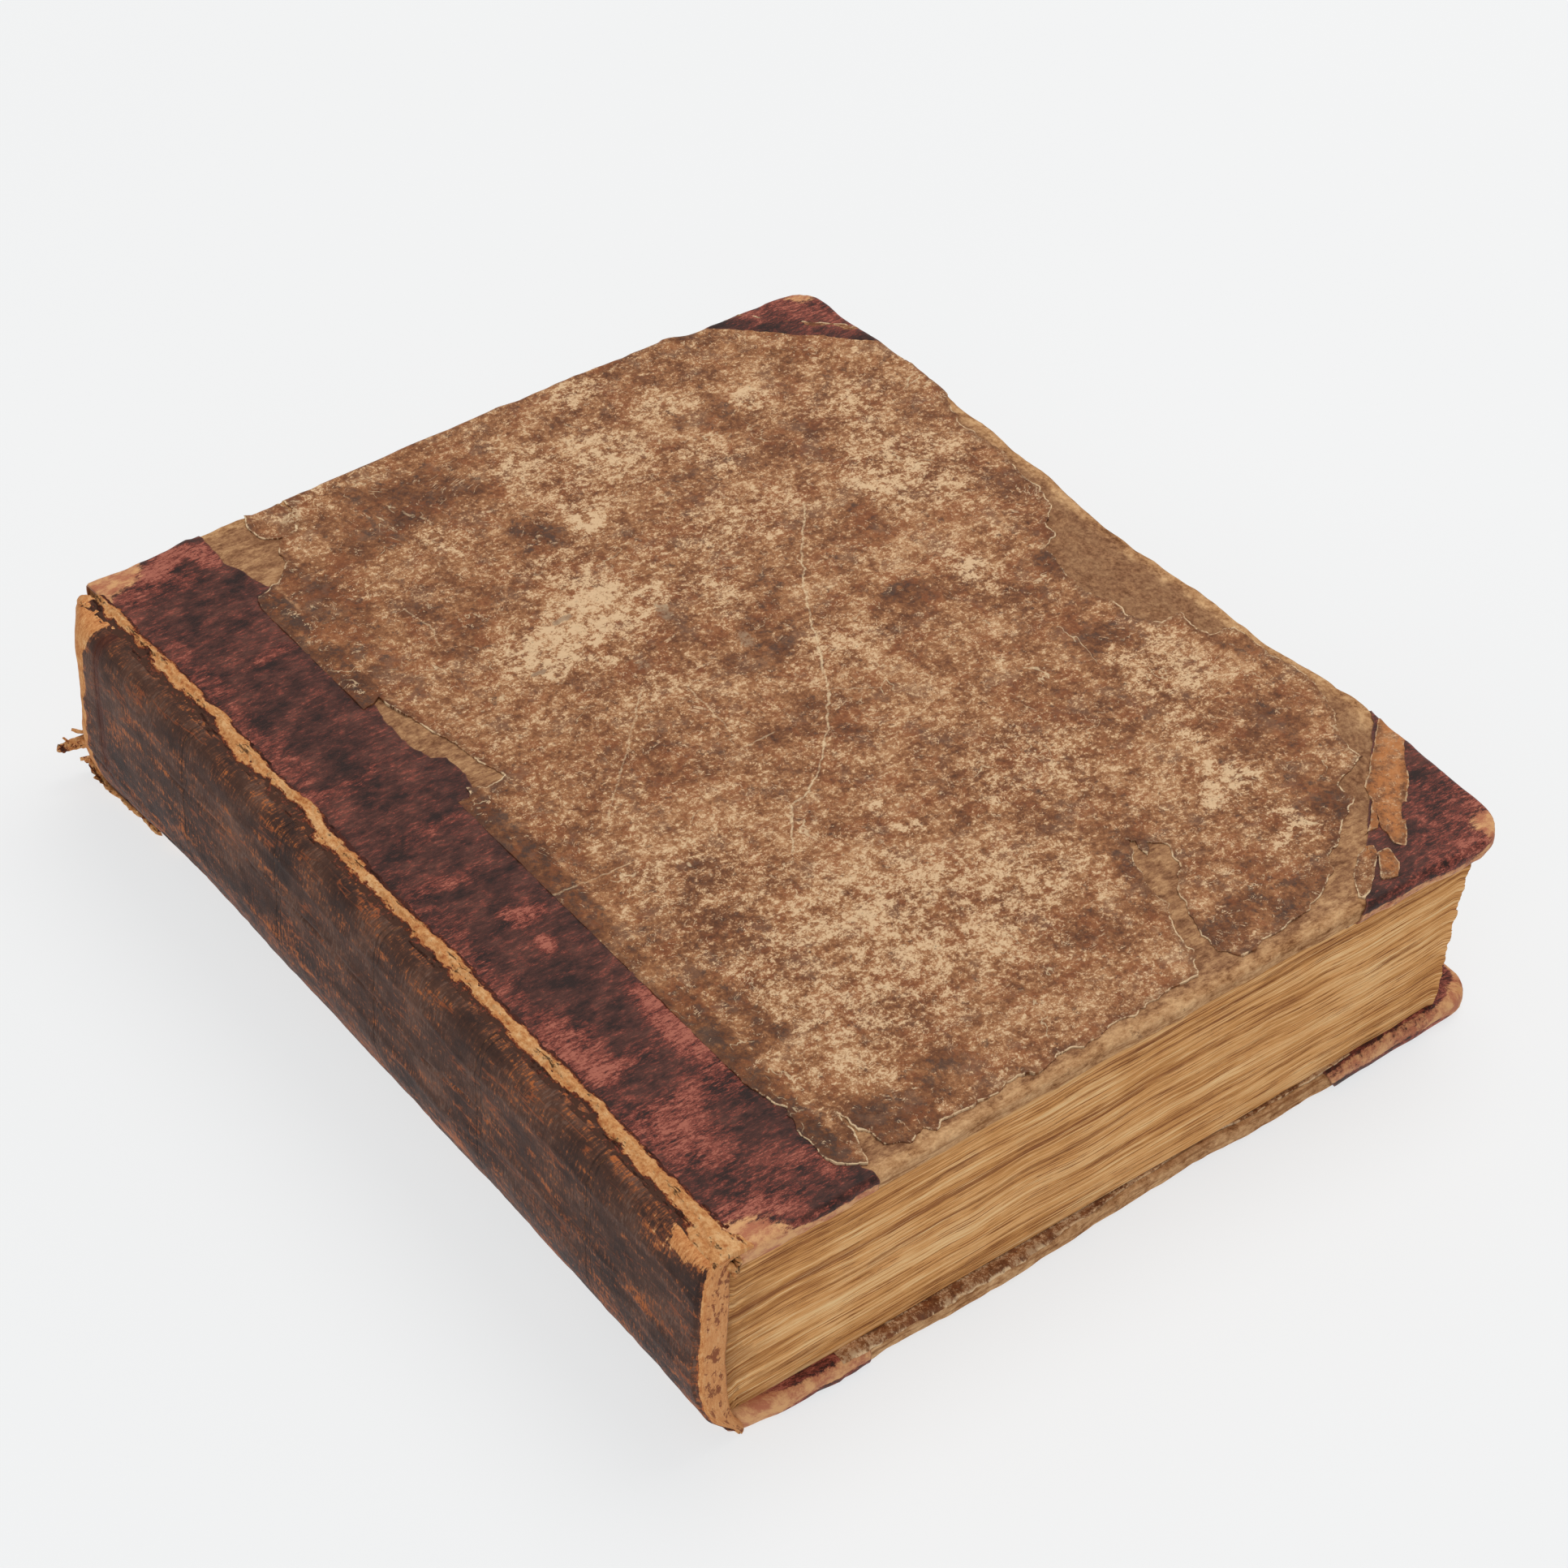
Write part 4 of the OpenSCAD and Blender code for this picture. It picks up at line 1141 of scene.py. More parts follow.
def dress_cover(side, finishes):
    """Every piece of one cover."""
    cover = Cover(side)
    front = side == "front"
    make_board(cover, finishes["board"])

    strip = torn(leather_outline(cover), lambda x, y: np.where(x > 30, 0.5, 0.05), 2.0)
    spacing = 1.6 if front else 3.0
    make_sheet(cover, side + "_strip_leather", side + "_leather_strip", [strip], spacing,
               leather_relief, strip_traits(cover), finishes["leather"])

    for end in ("head", "tail"):
        outline = torn(corner_outline(cover, end), 0.35, 5.0)
        make_sheet(cover, f"{side}_{end}_corner_leather", f"{side}_{end}_corner", [outline],
                   spacing, corner_relief, corner_traits(cover), finishes["leather"])

    if front:
        shapes = [torn(FRONT_PAPER, front_paper_wander, 1.0), torn(HEAD_ISLAND, 0.5, 3.0)]
        shapes += [torn(shape, 0.4, 6.0) for shape in REMNANTS]
    else:
        shapes = [torn(whole_paper(cover), 0.4, 4.0)]
    tail, fore = turn_in_outline(cover)
    shapes += [torn(tail, 0.3, 7.0), torn(fore, 0.3, 8.0)]
    make_sheet(cover, side + "_paper", side + "_side_paper", shapes, 1.5 if front else 3.0,
               paper_relief, paper_traits if front else plain_paper_traits, finishes["paper"])


# The spine's rounded profile
def spine_profile(count):
    """Evenly spaced points of the spine's outline: how far across, how high from its middle, and the run."""
    angle = np.linspace(0, math.pi / 2, 400)
    low_x = -np.cos(angle[::-1]) ** (2 / LOWER_SQUARE)
    low_z = -np.sin(angle[::-1]) ** (2 / LOWER_SQUARE)
    high_x = -np.cos(angle[1:]) ** (2 / UPPER_SQUARE)
    high_z = np.sin(angle[1:]) ** (2 / UPPER_SQUARE)
    across = np.concatenate([low_x, high_x])
    up = np.concatenate([low_z, high_z])
    length = np.hypot(np.diff(across) * BULGE, np.diff(up) * SPINE_HALF)
    run = np.concatenate([[0], np.cumsum(length)])
    even = np.linspace(0, run[-1], count)
    return np.interp(even, run, across), np.interp(even, run, up), even


def joint_line(z):
    """X of the line between the two joints at a height."""
    return -LEAN * (1 - z / THICKNESS)


def kept_bulge(y, z):
    """How much of the spine's bulge is left: its head end is crushed back, most of all at the top."""
    left = 0.27 + 0.48 * step(32, 4, z)
    return 1 - (1 - left) * step(HEIGHT - 14, HEIGHT + 1, y)


def foot(y, z):
    """How far the spine is drawn in under the book; near the head its foot has come loose."""
    drawn = np.interp(z, *np.array(FOOT).T)
    rounded = 2.4 * step(7, 0.3, y) * step(9, 0, z)
    return drawn * (1 - 0.85 * step(215, 272, y)) * (1 - 0.2 * step(14, 2, y)) + rounded


def spine_point(across, up, y, depth, inward=0.0):
    """A point of the spine: its depth under the surface, and how far a cap brings it inward."""
    z = THICKNESS / 2 + (SPINE_HALF - depth) * up
    bulge = np.maximum(BULGE * kept_bulge(y, z) - depth, 0.1)
    return joint_line(z) + foot(y, z) + bulge * across * (1 - inward), z


# Rusty and bare places on the spine, unrolled
RUST_SPOTS = [
    (40, 250, 4, 5, 1.0), (43, 240, 3, 8, 1.0), (30, 167, 4, 9, 0.9), (27, 152, 4, 8, 0.8),
    (22, 97, 5, 9, 0.9), (42, 79, 3, 5, 0.9), (18, 130, 4, 8, 0.6), (16, 60, 5, 10, 0.7),
    (36, 24, 3, 10, 0.8), (12, 30, 4, 9, 0.7), (10, 6, 7, 6, 1.4), (64, 7, 7, 8, 2.4),
    (60, 18, 5, 10, 1.2), (62, 34, 4, 8, 0.7), (24, 40, 3, 9, 0.6), (14, 200, 4, 10, 0.5),
]


def spine_loop():
    """The leather's section along the spine: how far a cap turns in, Y, and the depth under the surface."""
    tail = [(0.97, 2.4), (0.95, 1.0), (0.8, 0.35), (0.6, 0.1), (0.42, 0.05), (0.3, 0.3)]
    tail += [(0.27 * (1 - math.sin(a)), 2.3 - 2.0 * math.cos(a)) for a in np.linspace(0.2, 1.57, 7)]
    back = [(0.0, y) for y in np.arange(3.4, HEIGHT - 2.4, 1.2)]
    head = [(0.02, HEIGHT - 1.6), (0.08, HEIGHT - 0.9), (0.2, HEIGHT - 0.5), (0.4, HEIGHT - 0.5),
            (0.65, HEIGHT - 0.8), (0.93, HEIGHT - 1.0)]
    inner = [(0.93, HEIGHT - 2.2), (0.5, HEIGHT - 2.2), (0.0, HEIGHT - 2.8)]
    inner += [(0.0, y) for y in np.arange(HEIGHT - 6, 5.0, -4.0)]
    inner += [(0.3, 2.9), (0.6, 2.7), (0.95, 3.0)]
    return np.array([(f, y, 0.0) for f, y in tail + back + head] + [(f, y, SPINE_T) for f, y in inner])


def spine_creases(y, z):
    """The relief of the creases that run along the spine."""
    bend = 3 * noise(y / 30, 1.0)
    by_head = step(205, 222, y)
    crease = -0.5 * step(1.6, 0.2, np.abs(z - 16 - bend)) * by_head
    crease += 0.45 * step(3.5, 0, np.abs(z - 19 - bend)) * by_head
    fold = 44 - 6 * (230 - y) / 155 + 1.5 * noise(y / 22, 4.0)
    within = step(70, 95, y) * step(236, 220, y)
    crease += (0.35 * step(4, 0.5, z - fold) * (z > fold) - 0.45 * step(0.9, 0.1, np.abs(z - fold))) * within
    crease += 0.3 * step(2.2, 0, np.abs(z - 31 - 4 * noise(y / 34, 7.0))) * step(165, 120, y)
    crease += 0.3 * step(1.6, 0, np.abs(z - 51 - 1.5 * noise(y / 18, 9.0))) * step(250, 180, y)
    return crease


def spine_wear(s, y):
    """How worn the spine's leather is: most at its ends and its foot, and in spots."""
    from_head = HEIGHT - y + noise(s / 9, 2.0) + 0.6 * noise(s / 3, 5.0)
    end_band = 13.5 + 3.5 * step(20, 60, s)
    worn = 1.3 * step(1.4, 0.3, y) + 1.3 * step(1, -3, from_head - end_band)
    worn += 0.9 * step(24, 14, np.hypot(HEIGHT - y, (s - 64) * 1.5)) + 0.36 * patches(s, y, RUST_SPOTS, 2.0)
    worn += 0.9 * step(7, 4, s) * step(228, 246, y) + 0.2 * step(6, 2, s) + 0.25 * step(62, 66, s)
    return np.clip(worn, 0, 1.6)


def make_spine(material):
    """The spine's leather in one closed wall: the back, and a cap turned over at each end."""
    columns = 80
    across, up, run = spine_profile(columns)
    loop = spine_loop()
    rows = len(loop)
    inward = np.repeat(loop[:, 0], columns)
    y = np.repeat(loop[:, 1], columns)
    depth = np.repeat(loop[:, 2], columns)
    a = np.tile(across, rows)
    u = np.tile(up, rows)
    s = np.tile(run, rows)
    x, z = spine_point(a, u, y, depth, inward)
    skin = depth == 0
    near_head = step(HEIGHT - 6, HEIGHT - 1, y)
    ragged = 0.7 + 0.9 * noise(s / 2.2, 3.0) + 0.5 * noise(s / 0.9, 8.0)
    ragged = ragged + 4.5 * step(59, 64, s) + 1.6 * step(8, 3, s)
    y_worn = y - near_head * ragged
    fuller = 0.8 * step(0.8, 0.2, np.abs(y / HEIGHT - 0.55)) * step(0.2, 0.7, -a) * step(12, 26, z)
    bend = 0.32 * rough(s / 14, y / 26, 2.0, 3) + 0.1 * rough(s / 2.6, y / 2.6, 5.0, 2)
    press = -0.16 * sum(step(1.6, 0.5, np.abs(y - middle)) for middle in TOOLED)
    relief = spine_creases(y, z) + bend + press + fuller
    lift = np.where(skin & (inward < 0.01), relief, 0) * step(0, 0.12, -a)
    lift += np.where(inward > 0.01, 0.25 * rough(s / 4, y / 4 + inward * 3, 3.0, 3), 0) * step(0, 0.1, -a)
    x = x - lift * (1 - inward)
    y_worn = y_worn + np.where(skin & (inward > 0.3) & (y < 20), 0.3 * noise(s / 6, inward * 4, 3.0), 0)
    z = np.maximum(z, 0.3)
    place = np.stack([s, y - 9 * inward * np.where(y < 20, 1, -1), 9 * inward * (y < 20)], -1)
    piece = make_piece("spine_back", np.stack([x, y_worn, z], -1), loft_faces(rows, columns),
                       {"place": place, "worn": spine_wear(s, y)}, [material], crease=60)
    return settle(piece, "book_block", "spine_leather")


def make_lining(material):
    """The paper lining glued over the pages' back, inside the spine's leather."""
    columns = 30
    across, up, run = spine_profile(columns)
    ys = list(np.arange(3.4, HEIGHT - 3.4, 5.0)) + [HEIGHT - 3.4]
    outer, inner = LINING_DEPTHS
    loop = [(y, outer) for y in ys] + [(y, inner) for y in reversed(ys)]
    y = np.repeat([p[0] for p in loop], columns)
    depth = np.repeat([p[1] for p in loop], columns)
    x, z = spine_point(np.tile(across, len(loop)), np.tile(up, len(loop)), y, depth)
    place = np.stack([np.tile(run, len(loop)), y, depth], -1)
    piece = make_piece("back_lining", np.stack([x, y, z], -1), loft_faces(len(loop), columns),
                       {"place": place}, [material])
    return settle(piece, "book_block", "spine_lining")


def ribbon(route, widths, thickness, seed):
    """A frayed strip of leather along a route: its points and faces."""
    route = np.array(route, float)
    lengths = np.concatenate([[0], np.cumsum(np.linalg.norm(np.diff(route, axis=0), axis=1))])
    count = max(8, int(lengths[-1] / 0.45))
    even = np.linspace(0, lengths[-1], count)
    middle = np.stack([np.interp(even, lengths, route[:, k]) for k in range(3)], -1)
    for k in range(3):
        middle[:, k] += 0.28 * noise(even / 1.7, seed + 5 * k) * step(0, 1.5, even)
    width = np.interp(even, np.linspace(0, lengths[-1], len(widths)), widths)
    width = width * (1 + 0.35 * noise(even / 1.1, seed + 31))
    run = np.gradient(middle, axis=0)
    run /= np.linalg.norm(run, axis=1)[:, None]
    side = np.cross(run, [0.25, 0.1, 1.0])
    side /= np.linalg.norm(side, axis=1)[:, None]
    turn = 0.9 * noise(even / 6, seed + 50)
    out = np.cross(side, run)
    tilted = side * np.cos(turn)[:, None] + out * np.sin(turn)[:, None]
    lift = np.cross(tilted, run)
    points = []
    for angle in np.linspace(0, 2 * math.pi, 9)[:-1]:
        rim = 1 + 0.3 * noise(even / 0.8, seed + angle * 3)
        points.append(middle + tilted * (math.cos(angle) * width / 2 * rim)[:, None]
                      + lift * (math.sin(angle) * thickness / 2 * rim)[:, None])
    return np.stack(points, 1).reshape(-1, 3), tube_faces(count)


# Frayed strips of the spine's leather: the route of each, its widths along it and its thickness
SHREDS = [
    ([(-4.8, 277.6, 12.4), (-7.0, 279.4, 11.2), (-9.0, 280.6, 10.4), (-11.0, 281.0, 10.2),
      (-12.8, 281.0, 10.5)], [4.4, 3.8, 2.8, 2.4, 0.9], 2.2),
    ([(-4.8, 278.0, 9.4), (-7.2, 279.8, 9.6), (-9.6, 280.8, 9.2), (-11.6, 281.0, 9.2)],
     [3.0, 2.4, 1.6, 0.4], 1.5),
    ([(-5.4, 278.2, 14.4), (-6.6, 279.6, 14.2), (-8.0, 280.4, 14.8)], [2.4, 1.4, 0.4], 0.9),
    ([(-8.6, 280.4, 10.8), (-10.0, 280.6, 12.2), (-11.0, 280.8, 13.2)], [1.4, 0.9, 0.3], 0.6),
    ([(-4.6, 278.4, 5.0), (-5.8, 279.8, 4.2), (-7.0, 280.6, 3.9)], [3.0, 1.8, 0.5], 1.0),
    ([(-4.9, 279.4, 4.4), (-5.1, 275.0, 2.6), (-4.8, 269.0, 1.8), (-4.4, 263.0, 1.6), (-3.8, 254.0, 1.4),
      (-3.4, 246.0, 1.2)], [2.6, 3.8, 3.4, 3.0, 2.0, 0.6], 1.6),
    ([(-5.2, 277.0, 2.2), (-5.4, 272.0, 1.4), (-4.9, 268.0, 1.2)], [0.8, 1.6, 0.4], 0.8),
    ([(-3.6, 251.0, 1.6), (-3.9, 247.5, 1.2), (-3.4, 245.5, 1.0)], [0.6, 1.1, 0.4], 0.7),
    ([(-2.4, 270.5, 59.0), (-3.0, 273.0, 59.0), (-2.8, 275.6, 58.8)], [3.2, 2.4, 0.5], 0.9),
    ([(-4.8, 2.8, 58.8), (-2.6, 1.4, 58.2), (-0.8, 0.8, 56.8), (0.6, 0.8, 55.0), (1.0, 1.2, 53.0)],
     [2.0, 2.8, 3.0, 2.4, 1.0], 2.2),
    ([(2.4, 2.4, 58.6), (1.6, 1.2, 58.0), (1.2, 0.8, 56.4), (1.4, 1.2, 55.0)], [1.4, 2.2, 2.0, 0.8], 1.6),
]


def make_shreds(material):
    """Frayed ends of the spine's leather at its head and along its foot."""
    points = []
    faces = []
    red = []
    count = 0
    for k, (route, widths, thickness) in enumerate(SHREDS):
        made, sides = ribbon(route, widths, thickness, 7.0 * k)
        made[:, 2] = np.clip(made[:, 2], 0.05, THICKNESS - 0.1)
        points.append(made)
        red.append(np.full(len(made), 0.26 if route[0][2] < 30 else 0.1))
        faces += [tuple(i + count for i in face) for face in sides]
        count += len(made)
    points = np.concatenate(points)
    away = np.concatenate(red) + 0.3 * np.abs(noise(points[:, 0] / 2, points[:, 1] / 2, points[:, 2] / 2))
    traits = {"place": points + [0, 0, 5], "away": away}
    piece = make_piece("spine_shreds", points, faces, traits, [material])
    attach(piece, "book_block")
    return piece


def make_cord(number, middle, material):
    """One of the cords that the pages are sewn on, round the pages' back."""
    across, up, run = spine_profile(44)
    keep = slice(2, -2)
    x, z = spine_point(across[keep], up[keep], np.full(40, middle), CORD_DEPTH)
    run = np.stack([np.gradient(x), np.gradient(z)], -1)
    run /= np.hypot(run[:, 0], run[:, 1])[:, None]
    points = []
    for angle in np.linspace(0, 2 * math.pi, 9)[:-1]:
        out = math.cos(angle)
        points.append(np.stack([x - run[:, 1] * out, np.full(40, middle + math.sin(angle)),
                                z + run[:, 0] * out], -1))
    points = np.stack(points, 1).reshape(-1, 3)
    piece = make_piece(f"cord_{number}", points, tube_faces(40), {}, [material])
    return settle(piece, "book_block", f"sewing_cord_{number}")


# Where the worn ridge along a joint shifts towards its cover: places along it and distances
RIDGE_SHIFTS = [(225, 1.0), (214, 2.0), (173, 2.2), (111, 1.2), (53, 1.6), (8, -2.4)]


def make_joint(side, material):
    """The worn leather that bends between the spine and one cover."""
    front = side == "front"
    ys = np.arange(0.6, FRONT_RIDGE_END if front else HEIGHT - 0.6, 0.5)
    across = np.linspace(-1, 1, 38)
    y, w = np.meshgrid(ys, across, indexing="ij")
    seed = 1.0 if front else 30.0
    sway = 0.8 * noise(y / 20, seed) + 0.4 * noise(y / 6, seed + 3) + 0.2 * noise(y / 2, seed + 4)
    for spot, shift in RIDGE_SHIFTS:
        sway = sway + shift * step(9, 0, np.abs(y - spot)) * (1 if front else 0.3)
    flare = step(26, 4, y)
    x = w * (4.2 + 1.2 * flare)
    middle = np.clip(sway * 0.7 + 0.4, -2.2, 2.4)
    width = 1.25 + 0.35 * noise(y / 11, seed + 8) + 0.25 * noise(y / 2.5, seed + 12) + 1.3 * flare
    width = width * (1 - 0.5 * step(FRONT_RIDGE_END - 11, FRONT_RIDGE_END, y) * front)
    hump = np.exp(-((x - middle) / (width + 0.5)) ** 2)
    lumps = 0.3 * rough(x / 1.4, y / 2.0, seed, 3) * (0.3 + hump)
    split = step(0.75, 0.1, np.abs(x - middle + 0.7 * noise(y / 3.2, seed + 5) + 0.3))
    split = split * step(-0.1, 0.25, noise(y / 8, seed + 6))
    edge = step(1.0, 0.8, np.abs(w))
    if front:
        up = np.clip(-x / BULGE, 0, 0.995) ** UPPER_SQUARE
        base = np.where(x < 0, THICKNESS / 2 + SPINE_HALF * (1 - up) ** (1 / UPPER_SQUARE), THICKNESS)
        base = np.minimum(base, THICKNESS - 0.1)
        top = base + (0.85 * hump + lumps - 0.6 * split * hump) * edge - 0.3 * (1 - edge)
        top = np.minimum(top, THICKNESS + 1.2)
        low = base - 0.9
    else:
        base = 4.4 * np.clip(-w, 0, 1) ** 1.3
        over = np.clip((THICKNESS / 2 - base) / SPINE_HALF, 0, 1) ** LOWER_SQUARE
        bulge = BULGE * kept_bulge(y, base) * (1 - over) ** (1 / LOWER_SQUARE)
        side_x = joint_line(base) + foot(y, base) - bulge
        x = np.where(w < 0, side_x, side_x + w * (1.4 - side_x)) - 0.15 * np.clip(-w, 0, 1)
        top = np.maximum(base - (0.2 * hump + 0.4 * lumps) * edge * (w > -0.9), 0.02)
        low = base + 0.9
    count = x.size
    columns = len(across)
    upper = np.stack([x, y, top], -1).reshape(-1, 3)
    lower = np.stack([x, y, low], -1).reshape(-1, 3)
    faces = grid_faces(len(ys), columns, flip=True)
    faces += [tuple(i + count for i in reversed(face)) for face in faces]
    rim = list(range(columns))
    rim += [i * columns + columns - 1 for i in range(1, len(ys))]
    rim += [(len(ys) - 1) * columns + j for j in range(columns - 2, -1, -1)]
    rim += [i * columns for i in range(len(ys) - 2, 0, -1)]
    faces += [(a, b, b + count, a + count) for a, b in zip(rim, rim[1:] + rim[:1])]
    if not front:
        faces = [tuple(reversed(face)) for face in faces]
    away = np.abs((x if front else w * 4.2) - middle) / (width * 2.4)
    away = away * (1 - 0.6 * step(13, 4, y) * front)
    away = away + (0.3 * step(9, 3, np.abs(y - 249)) - 0.12 * step(16, 6, np.abs(y - 198))) * front
    traits = {"place": np.tile(np.stack([x, y, np.zeros_like(x)], -1).reshape(-1, 3), (2, 1)),
              "away": np.tile(away.ravel(), 2)}
    piece = make_piece(side + "_joint_leather", np.concatenate([upper, lower]), faces, traits, [material])
    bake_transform(piece)
    return piece


# The pages
def fore_edge(rise):
    """How far the pages reach at the fore-edge, from the lowest leaf to the highest."""
    return REACH - 13.2 + 4.8 * rise * rise - 1.8 * np.exp(-rise / 0.06)


def back_edge(y, z):
    """X of the pages' rounded back."""
    half = SPINE_HALF - 1.7
    over = np.abs(z - THICKNESS / 2) / half
    square = np.where(z > THICKNESS / 2, UPPER_SQUARE, LOWER_SQUARE)
    bulge = np.maximum(BULGE * kept_bulge(y, z) - 2.0, 0.1)
    return joint_line(z) + foot(y, z) - bulge * np.maximum(1 - over ** square, 0) ** (1 / square)


def page_columns():
    """Where round the pages their edges are drawn: a side, and how far along it."""
    tail = [("tail", t) for t in np.linspace(0, 1, 150)[:-1]]
    fore = [("fore", t) for t in np.linspace(0, 1, 176)[:-1]]
    head = [("head", t) for t in np.linspace(0, 1, 120)[:-1]]
    stops = {y + d for y in CORDS for d in (-1.7, -1.4, 1.4, 1.7)} | set(range(8, 260, 12))
    stops = sorted(stops | {264, 267, 269, 271, 273, 275}, reverse=True)
    return tail + fore + head + [("back", y) for y in stops]


def page_waves(x, y, leaves):
    """How far the leaves' waves lift the points of their edges."""
    along = np.where(y < HEIGHT / 2, x, x + 40)
    side_on = (x > 205) & (y > 8) & (y < HEIGHT - 8)
    along = np.where(side_on, y + 300, along)
    wave = 0.75 * noise(along / 17, leaves / 22, 4.0) + 0.3 * noise(along / 7.5, leaves / 9, 9.0)
    return wave + 0.35 * noise(along / 34, leaves / 30, 1.0)


def outer_leaves(edge_points, count, block_t):
    """Fills the lowest and the highest leaf. Gives new points, their places, and faces out to the edges."""
    points = []
    place = []
    faces = []
    bottom = list(range(count))
    top = list(range(len(edge_points) - count, len(edge_points)))
    for loop, flip in ((bottom, True), (top, False)):
        rim = edge_points[loop][:, :2]
        grid = even_grid(rim.min(0), rim.max(0), 7.0, 4)
        made, triangles, _ = fill([rim], grid[inside(grid, rim)], 2.0)
        on_rim = {tuple(np.round(p, 4)): i for p, i in zip(rim, loop)}
        level = edge_points[loop][:, 2].mean()
        number = []
        for p in made:
            key = tuple(np.round(p, 4))
            if key in on_rim:
                number.append(on_rim[key])
            else:
                number.append(len(edge_points) + len(points))
                dip = 0.12 * noise(p[0] / 40, p[1] / 40, 3.0) - 0.06
                points.append((p[0], p[1], level + (-dip if flip else dip)))
                place.append((p[0], p[1], 0 if flip else block_t))
        for a, b, c in triangles:
            corner = (number[a], number[b], number[c])
            faces.append(tuple(reversed(corner)) if flip else corner)
    return np.array(points), np.array(place), faces


def make_pages(edge_material, leaf_material):
    """All the pages as one body, whose leaves wave, spread and fray."""
    block_t = BLOCK_HIGH - BLOCK_LOW
    rise = np.linspace(0, 1, 123)
    columns = page_columns()
    leaf = rise * block_t
    points = np.zeros((len(rise), len(columns), 3))
    leaves = np.zeros((len(rise), len(columns)))
    z_rows = BLOCK_LOW + leaf
    fore_x = fore_edge(rise)
    fray = 0.32 * noise(leaf / 0.9, 3.0) + 0.42 * noise(leaf / 2.6, 7.0) + 0.2 * noise(leaf / 0.45, 11.0)
    for j, (kind, t) in enumerate(columns):
        local = noise(leaf / 1.3, t * 6 + len(kind), 2.0) * 0.22
        if kind in ("tail", "head"):
            share = t if kind == "tail" else 1 - t
            back_x = back_edge(0.0 if kind == "tail" else HEIGHT - BLOCK_SQUARE, z_rows)
            x = back_x + (fore_x - back_x) * share
            out = 0.5 * fray + local + 0.5 * step(0.93, 1.0, share)
            y = BLOCK_SQUARE + out if kind == "tail" else HEIGHT - BLOCK_SQUARE - out
        elif kind == "fore":
            y = np.full_like(leaf, BLOCK_SQUARE + (HEIGHT - 2 * BLOCK_SQUARE) * t)
            x = fore_x + 1.1 * fray * step(0.02, 0.3, rise) + local
        else:
            y = np.full_like(leaf, t)
            sawn = any(abs(t - cord) < 1.5 for cord in CORDS)
            x = back_edge(t, z_rows) + (KERF_DEPTH if sawn else 0)
        points[:, j] = np.stack([x, y, z_rows], -1)
        leaves[:, j] = leaf
    x = points[..., 0]
    y = points[..., 1]
    hold = np.clip(np.sin(np.pi * rise) * 1.6, 0, 1)[:, None]
    points[..., 2] += page_waves(x, y, leaves) * hold
    spread = step(6, -1, x) * 1.6 * (rise[:, None] - 0.5) * 2
    points[..., 2] += np.where(x < 1.5, spread, 0)
    rows, count = leaves.shape
    place = np.stack([points[..., 0], points[..., 1], leaves], -1).reshape(-1, 3)
    edge_points = points.reshape(-1, 3)
    edges = grid_faces(rows, count, across=True)
    more_points, more_place, outer = outer_leaves(edge_points, count, block_t)
    all_points = np.concatenate([edge_points, more_points])
    all_place = np.concatenate([place, more_place])
    piece = make_piece("pages", all_points, edges + outer, {"place": all_place},
                       [edge_material, leaf_material], [0] * len(edges) + [1] * len(outer), crease=50)
    return settle(piece, "book_block", "text_block")


# The view, the light and the floor
def aim_camera():
    """The photograph's viewing angle, as measured from the book's corners."""
    azimuth = math.radians(-37.0548)
    elevation = math.radians(41.6575)
    roll = math.radians(0.4432)
    target = Vector((0.13809, 0.16717, 0)) + Vector(ORIGIN)
    distance = 1.00609
    back = Vector((math.sin(azimuth) * math.cos(elevation), -math.cos(azimuth) * math.cos(elevation),
                   math.sin(elevation)))
    right = Vector((0, 0, 1)).cross(back).normalized()
    up = back.cross(right)
    turned_right = math.cos(roll) * right + math.sin(roll) * up
    turned_up = -math.sin(roll) * right + math.cos(roll) * up
    lens = bpy.data.cameras.new("view")
    lens.sensor_width = 36
    lens.sensor_fit = "HORIZONTAL"
    lens.lens = 88.23
    lens.clip_start = 0.01
    camera = bpy.data.objects.new("view", lens)
    bpy.context.scene.collection.objects.link(camera)
    turn = Matrix((turned_right, turned_up, back)).transposed()
    camera.matrix_world = Matrix.Translation(target + back * distance) @ turn.to_4x4()
    bpy.context.scene.camera = camera
    bpy.context.scene.view_settings.view_transform = "Standard"


def soft_light(name, place, power, colour):
    """A round area light that faces the book."""
    lamp = bpy.data.lights.new(name, "AREA")
    lamp.shape = "DISK"
    lamp.size = 1.2
    lamp.energy = power
    lamp.color = colour
    light = bpy.data.objects.new(name, lamp)
    bpy.context.scene.collection.objects.link(light)
    light.location = place
    light.rotation_euler = (-Vector(place)).to_track_quat("-Z", "Y").to_euler()


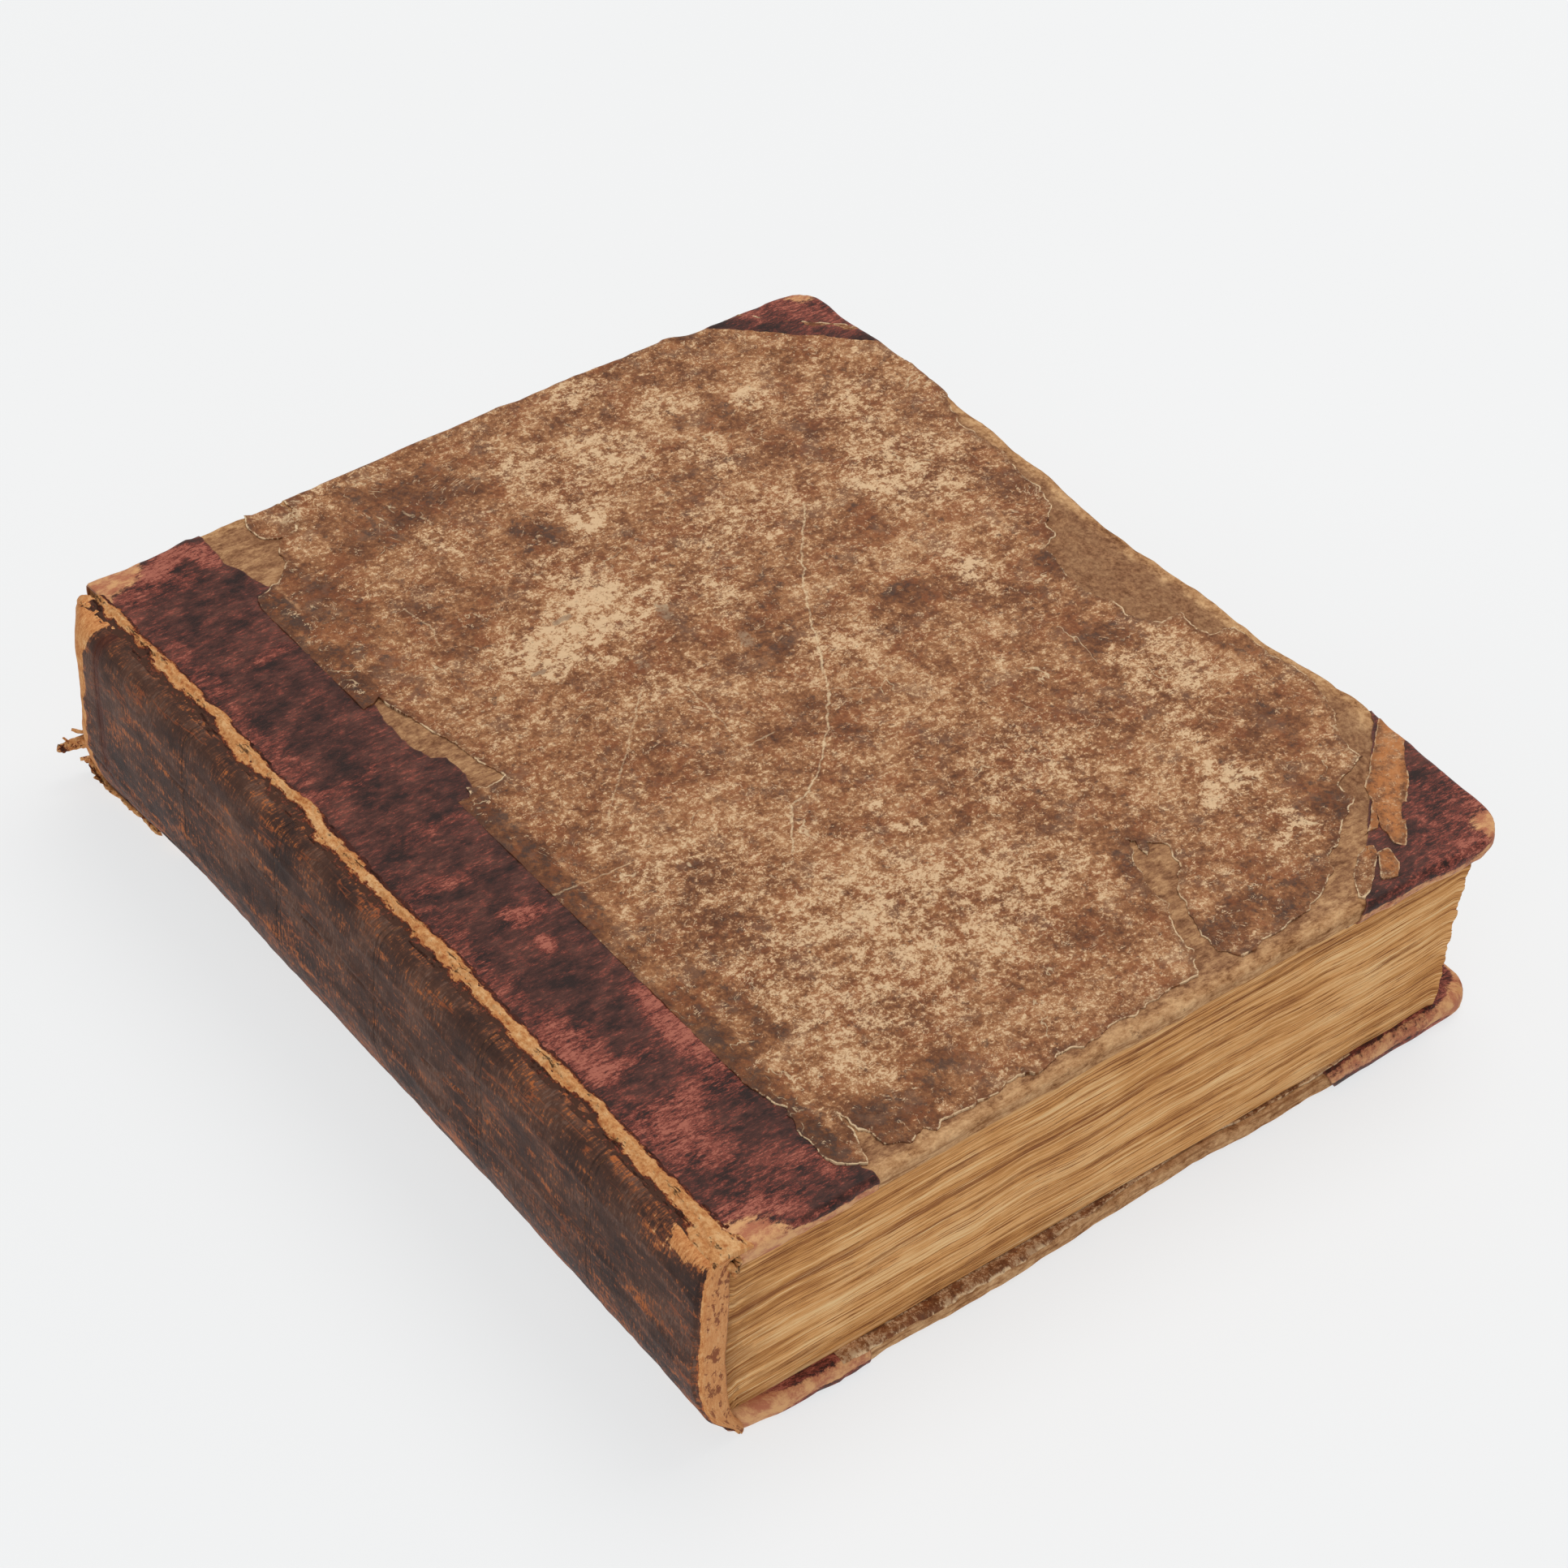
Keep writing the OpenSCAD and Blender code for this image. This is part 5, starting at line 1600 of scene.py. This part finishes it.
def light_room():
    """A pale room with a key light from above and a weaker one from the spine's side."""
    world = bpy.data.worlds.new("pale room")
    world.use_nodes = True
    sky = world.node_tree.nodes["Background"]
    sky.inputs["Color"].default_value = (*tint(243, 245, 247), 1)
    sky.inputs["Strength"].default_value = 0.62
    bpy.context.scene.world = world
    soft_light("key", (0.6, 0.2, 1.6), 13, tint(255, 251, 246))
    soft_light("fill", (-1.1, -1.0, 1.0), 5, tint(250, 252, 255))


def lay_floor():
    """The pale surface that the book lies on."""
    mesh = bpy.data.meshes.new("floor")
    half = 6.0
    mesh.from_pydata([(-half, -half, 0), (half, -half, 0), (half, half, 0), (-half, half, 0)], [],
                     [(0, 1, 2, 3)])
    floor = bpy.data.objects.new("floor", mesh)
    bpy.context.scene.collection.objects.link(floor)
    f = Finish("pale floor", roughness=0.7, specular=0.1, from_object=True)
    shade = f.noise(300, 2, shift=3)
    f.shader.inputs["Emission Color"].default_value = (0.99, 0.998, 1.0, 1.0)
    f.shader.inputs["Emission Strength"].default_value = 0.68
    mesh.materials.append(f.finish(f.mix(shade, (0.2, 0.202, 0.205), (0.225, 0.227, 0.23))))


def dress_kept_nodes(finishes):
    """The solids that stay as they are get finishes of their own."""
    kept = {"front_pastedown": "endpaper", "rear_pastedown": "endpaper",
            "front_cord_slips": "cord", "rear_cord_slips": "cord"}
    for node, finish in kept.items():
        materials = frame["nodes"][node].data.materials
        if not materials:
            materials.append(finishes[finish])
        for i in range(len(materials)):
            materials[i] = finishes[finish]


aim_camera()
lay_floor()
light_room()
finishes = {
    "paper": side_paper_finish(),
    "board": board_finish(),
    "leather": cover_leather_finish(),
    "spine": spine_leather_finish(),
    "joint": joint_finish(),
    "edges": page_edge_finish(),
    "leaf": leaf_finish("open leaf"),
    "endpaper": leaf_finish("endpaper", from_object=True),
    "cord": cord_finish(),
    "lining": lining_finish(),
}
dress_kept_nodes(finishes)
make_pages(finishes["edges"], finishes["leaf"])
make_spine(finishes["spine"])
make_lining(finishes["lining"])
make_shreds(finishes["joint"])
for number, middle in enumerate(CORDS, 1):
    make_cord(number, middle, finishes["cord"])
for side in ("front", "rear"):
    dress_cover(side, finishes)
    make_joint(side, finishes["joint"])

bpy.context.view_layer.update()
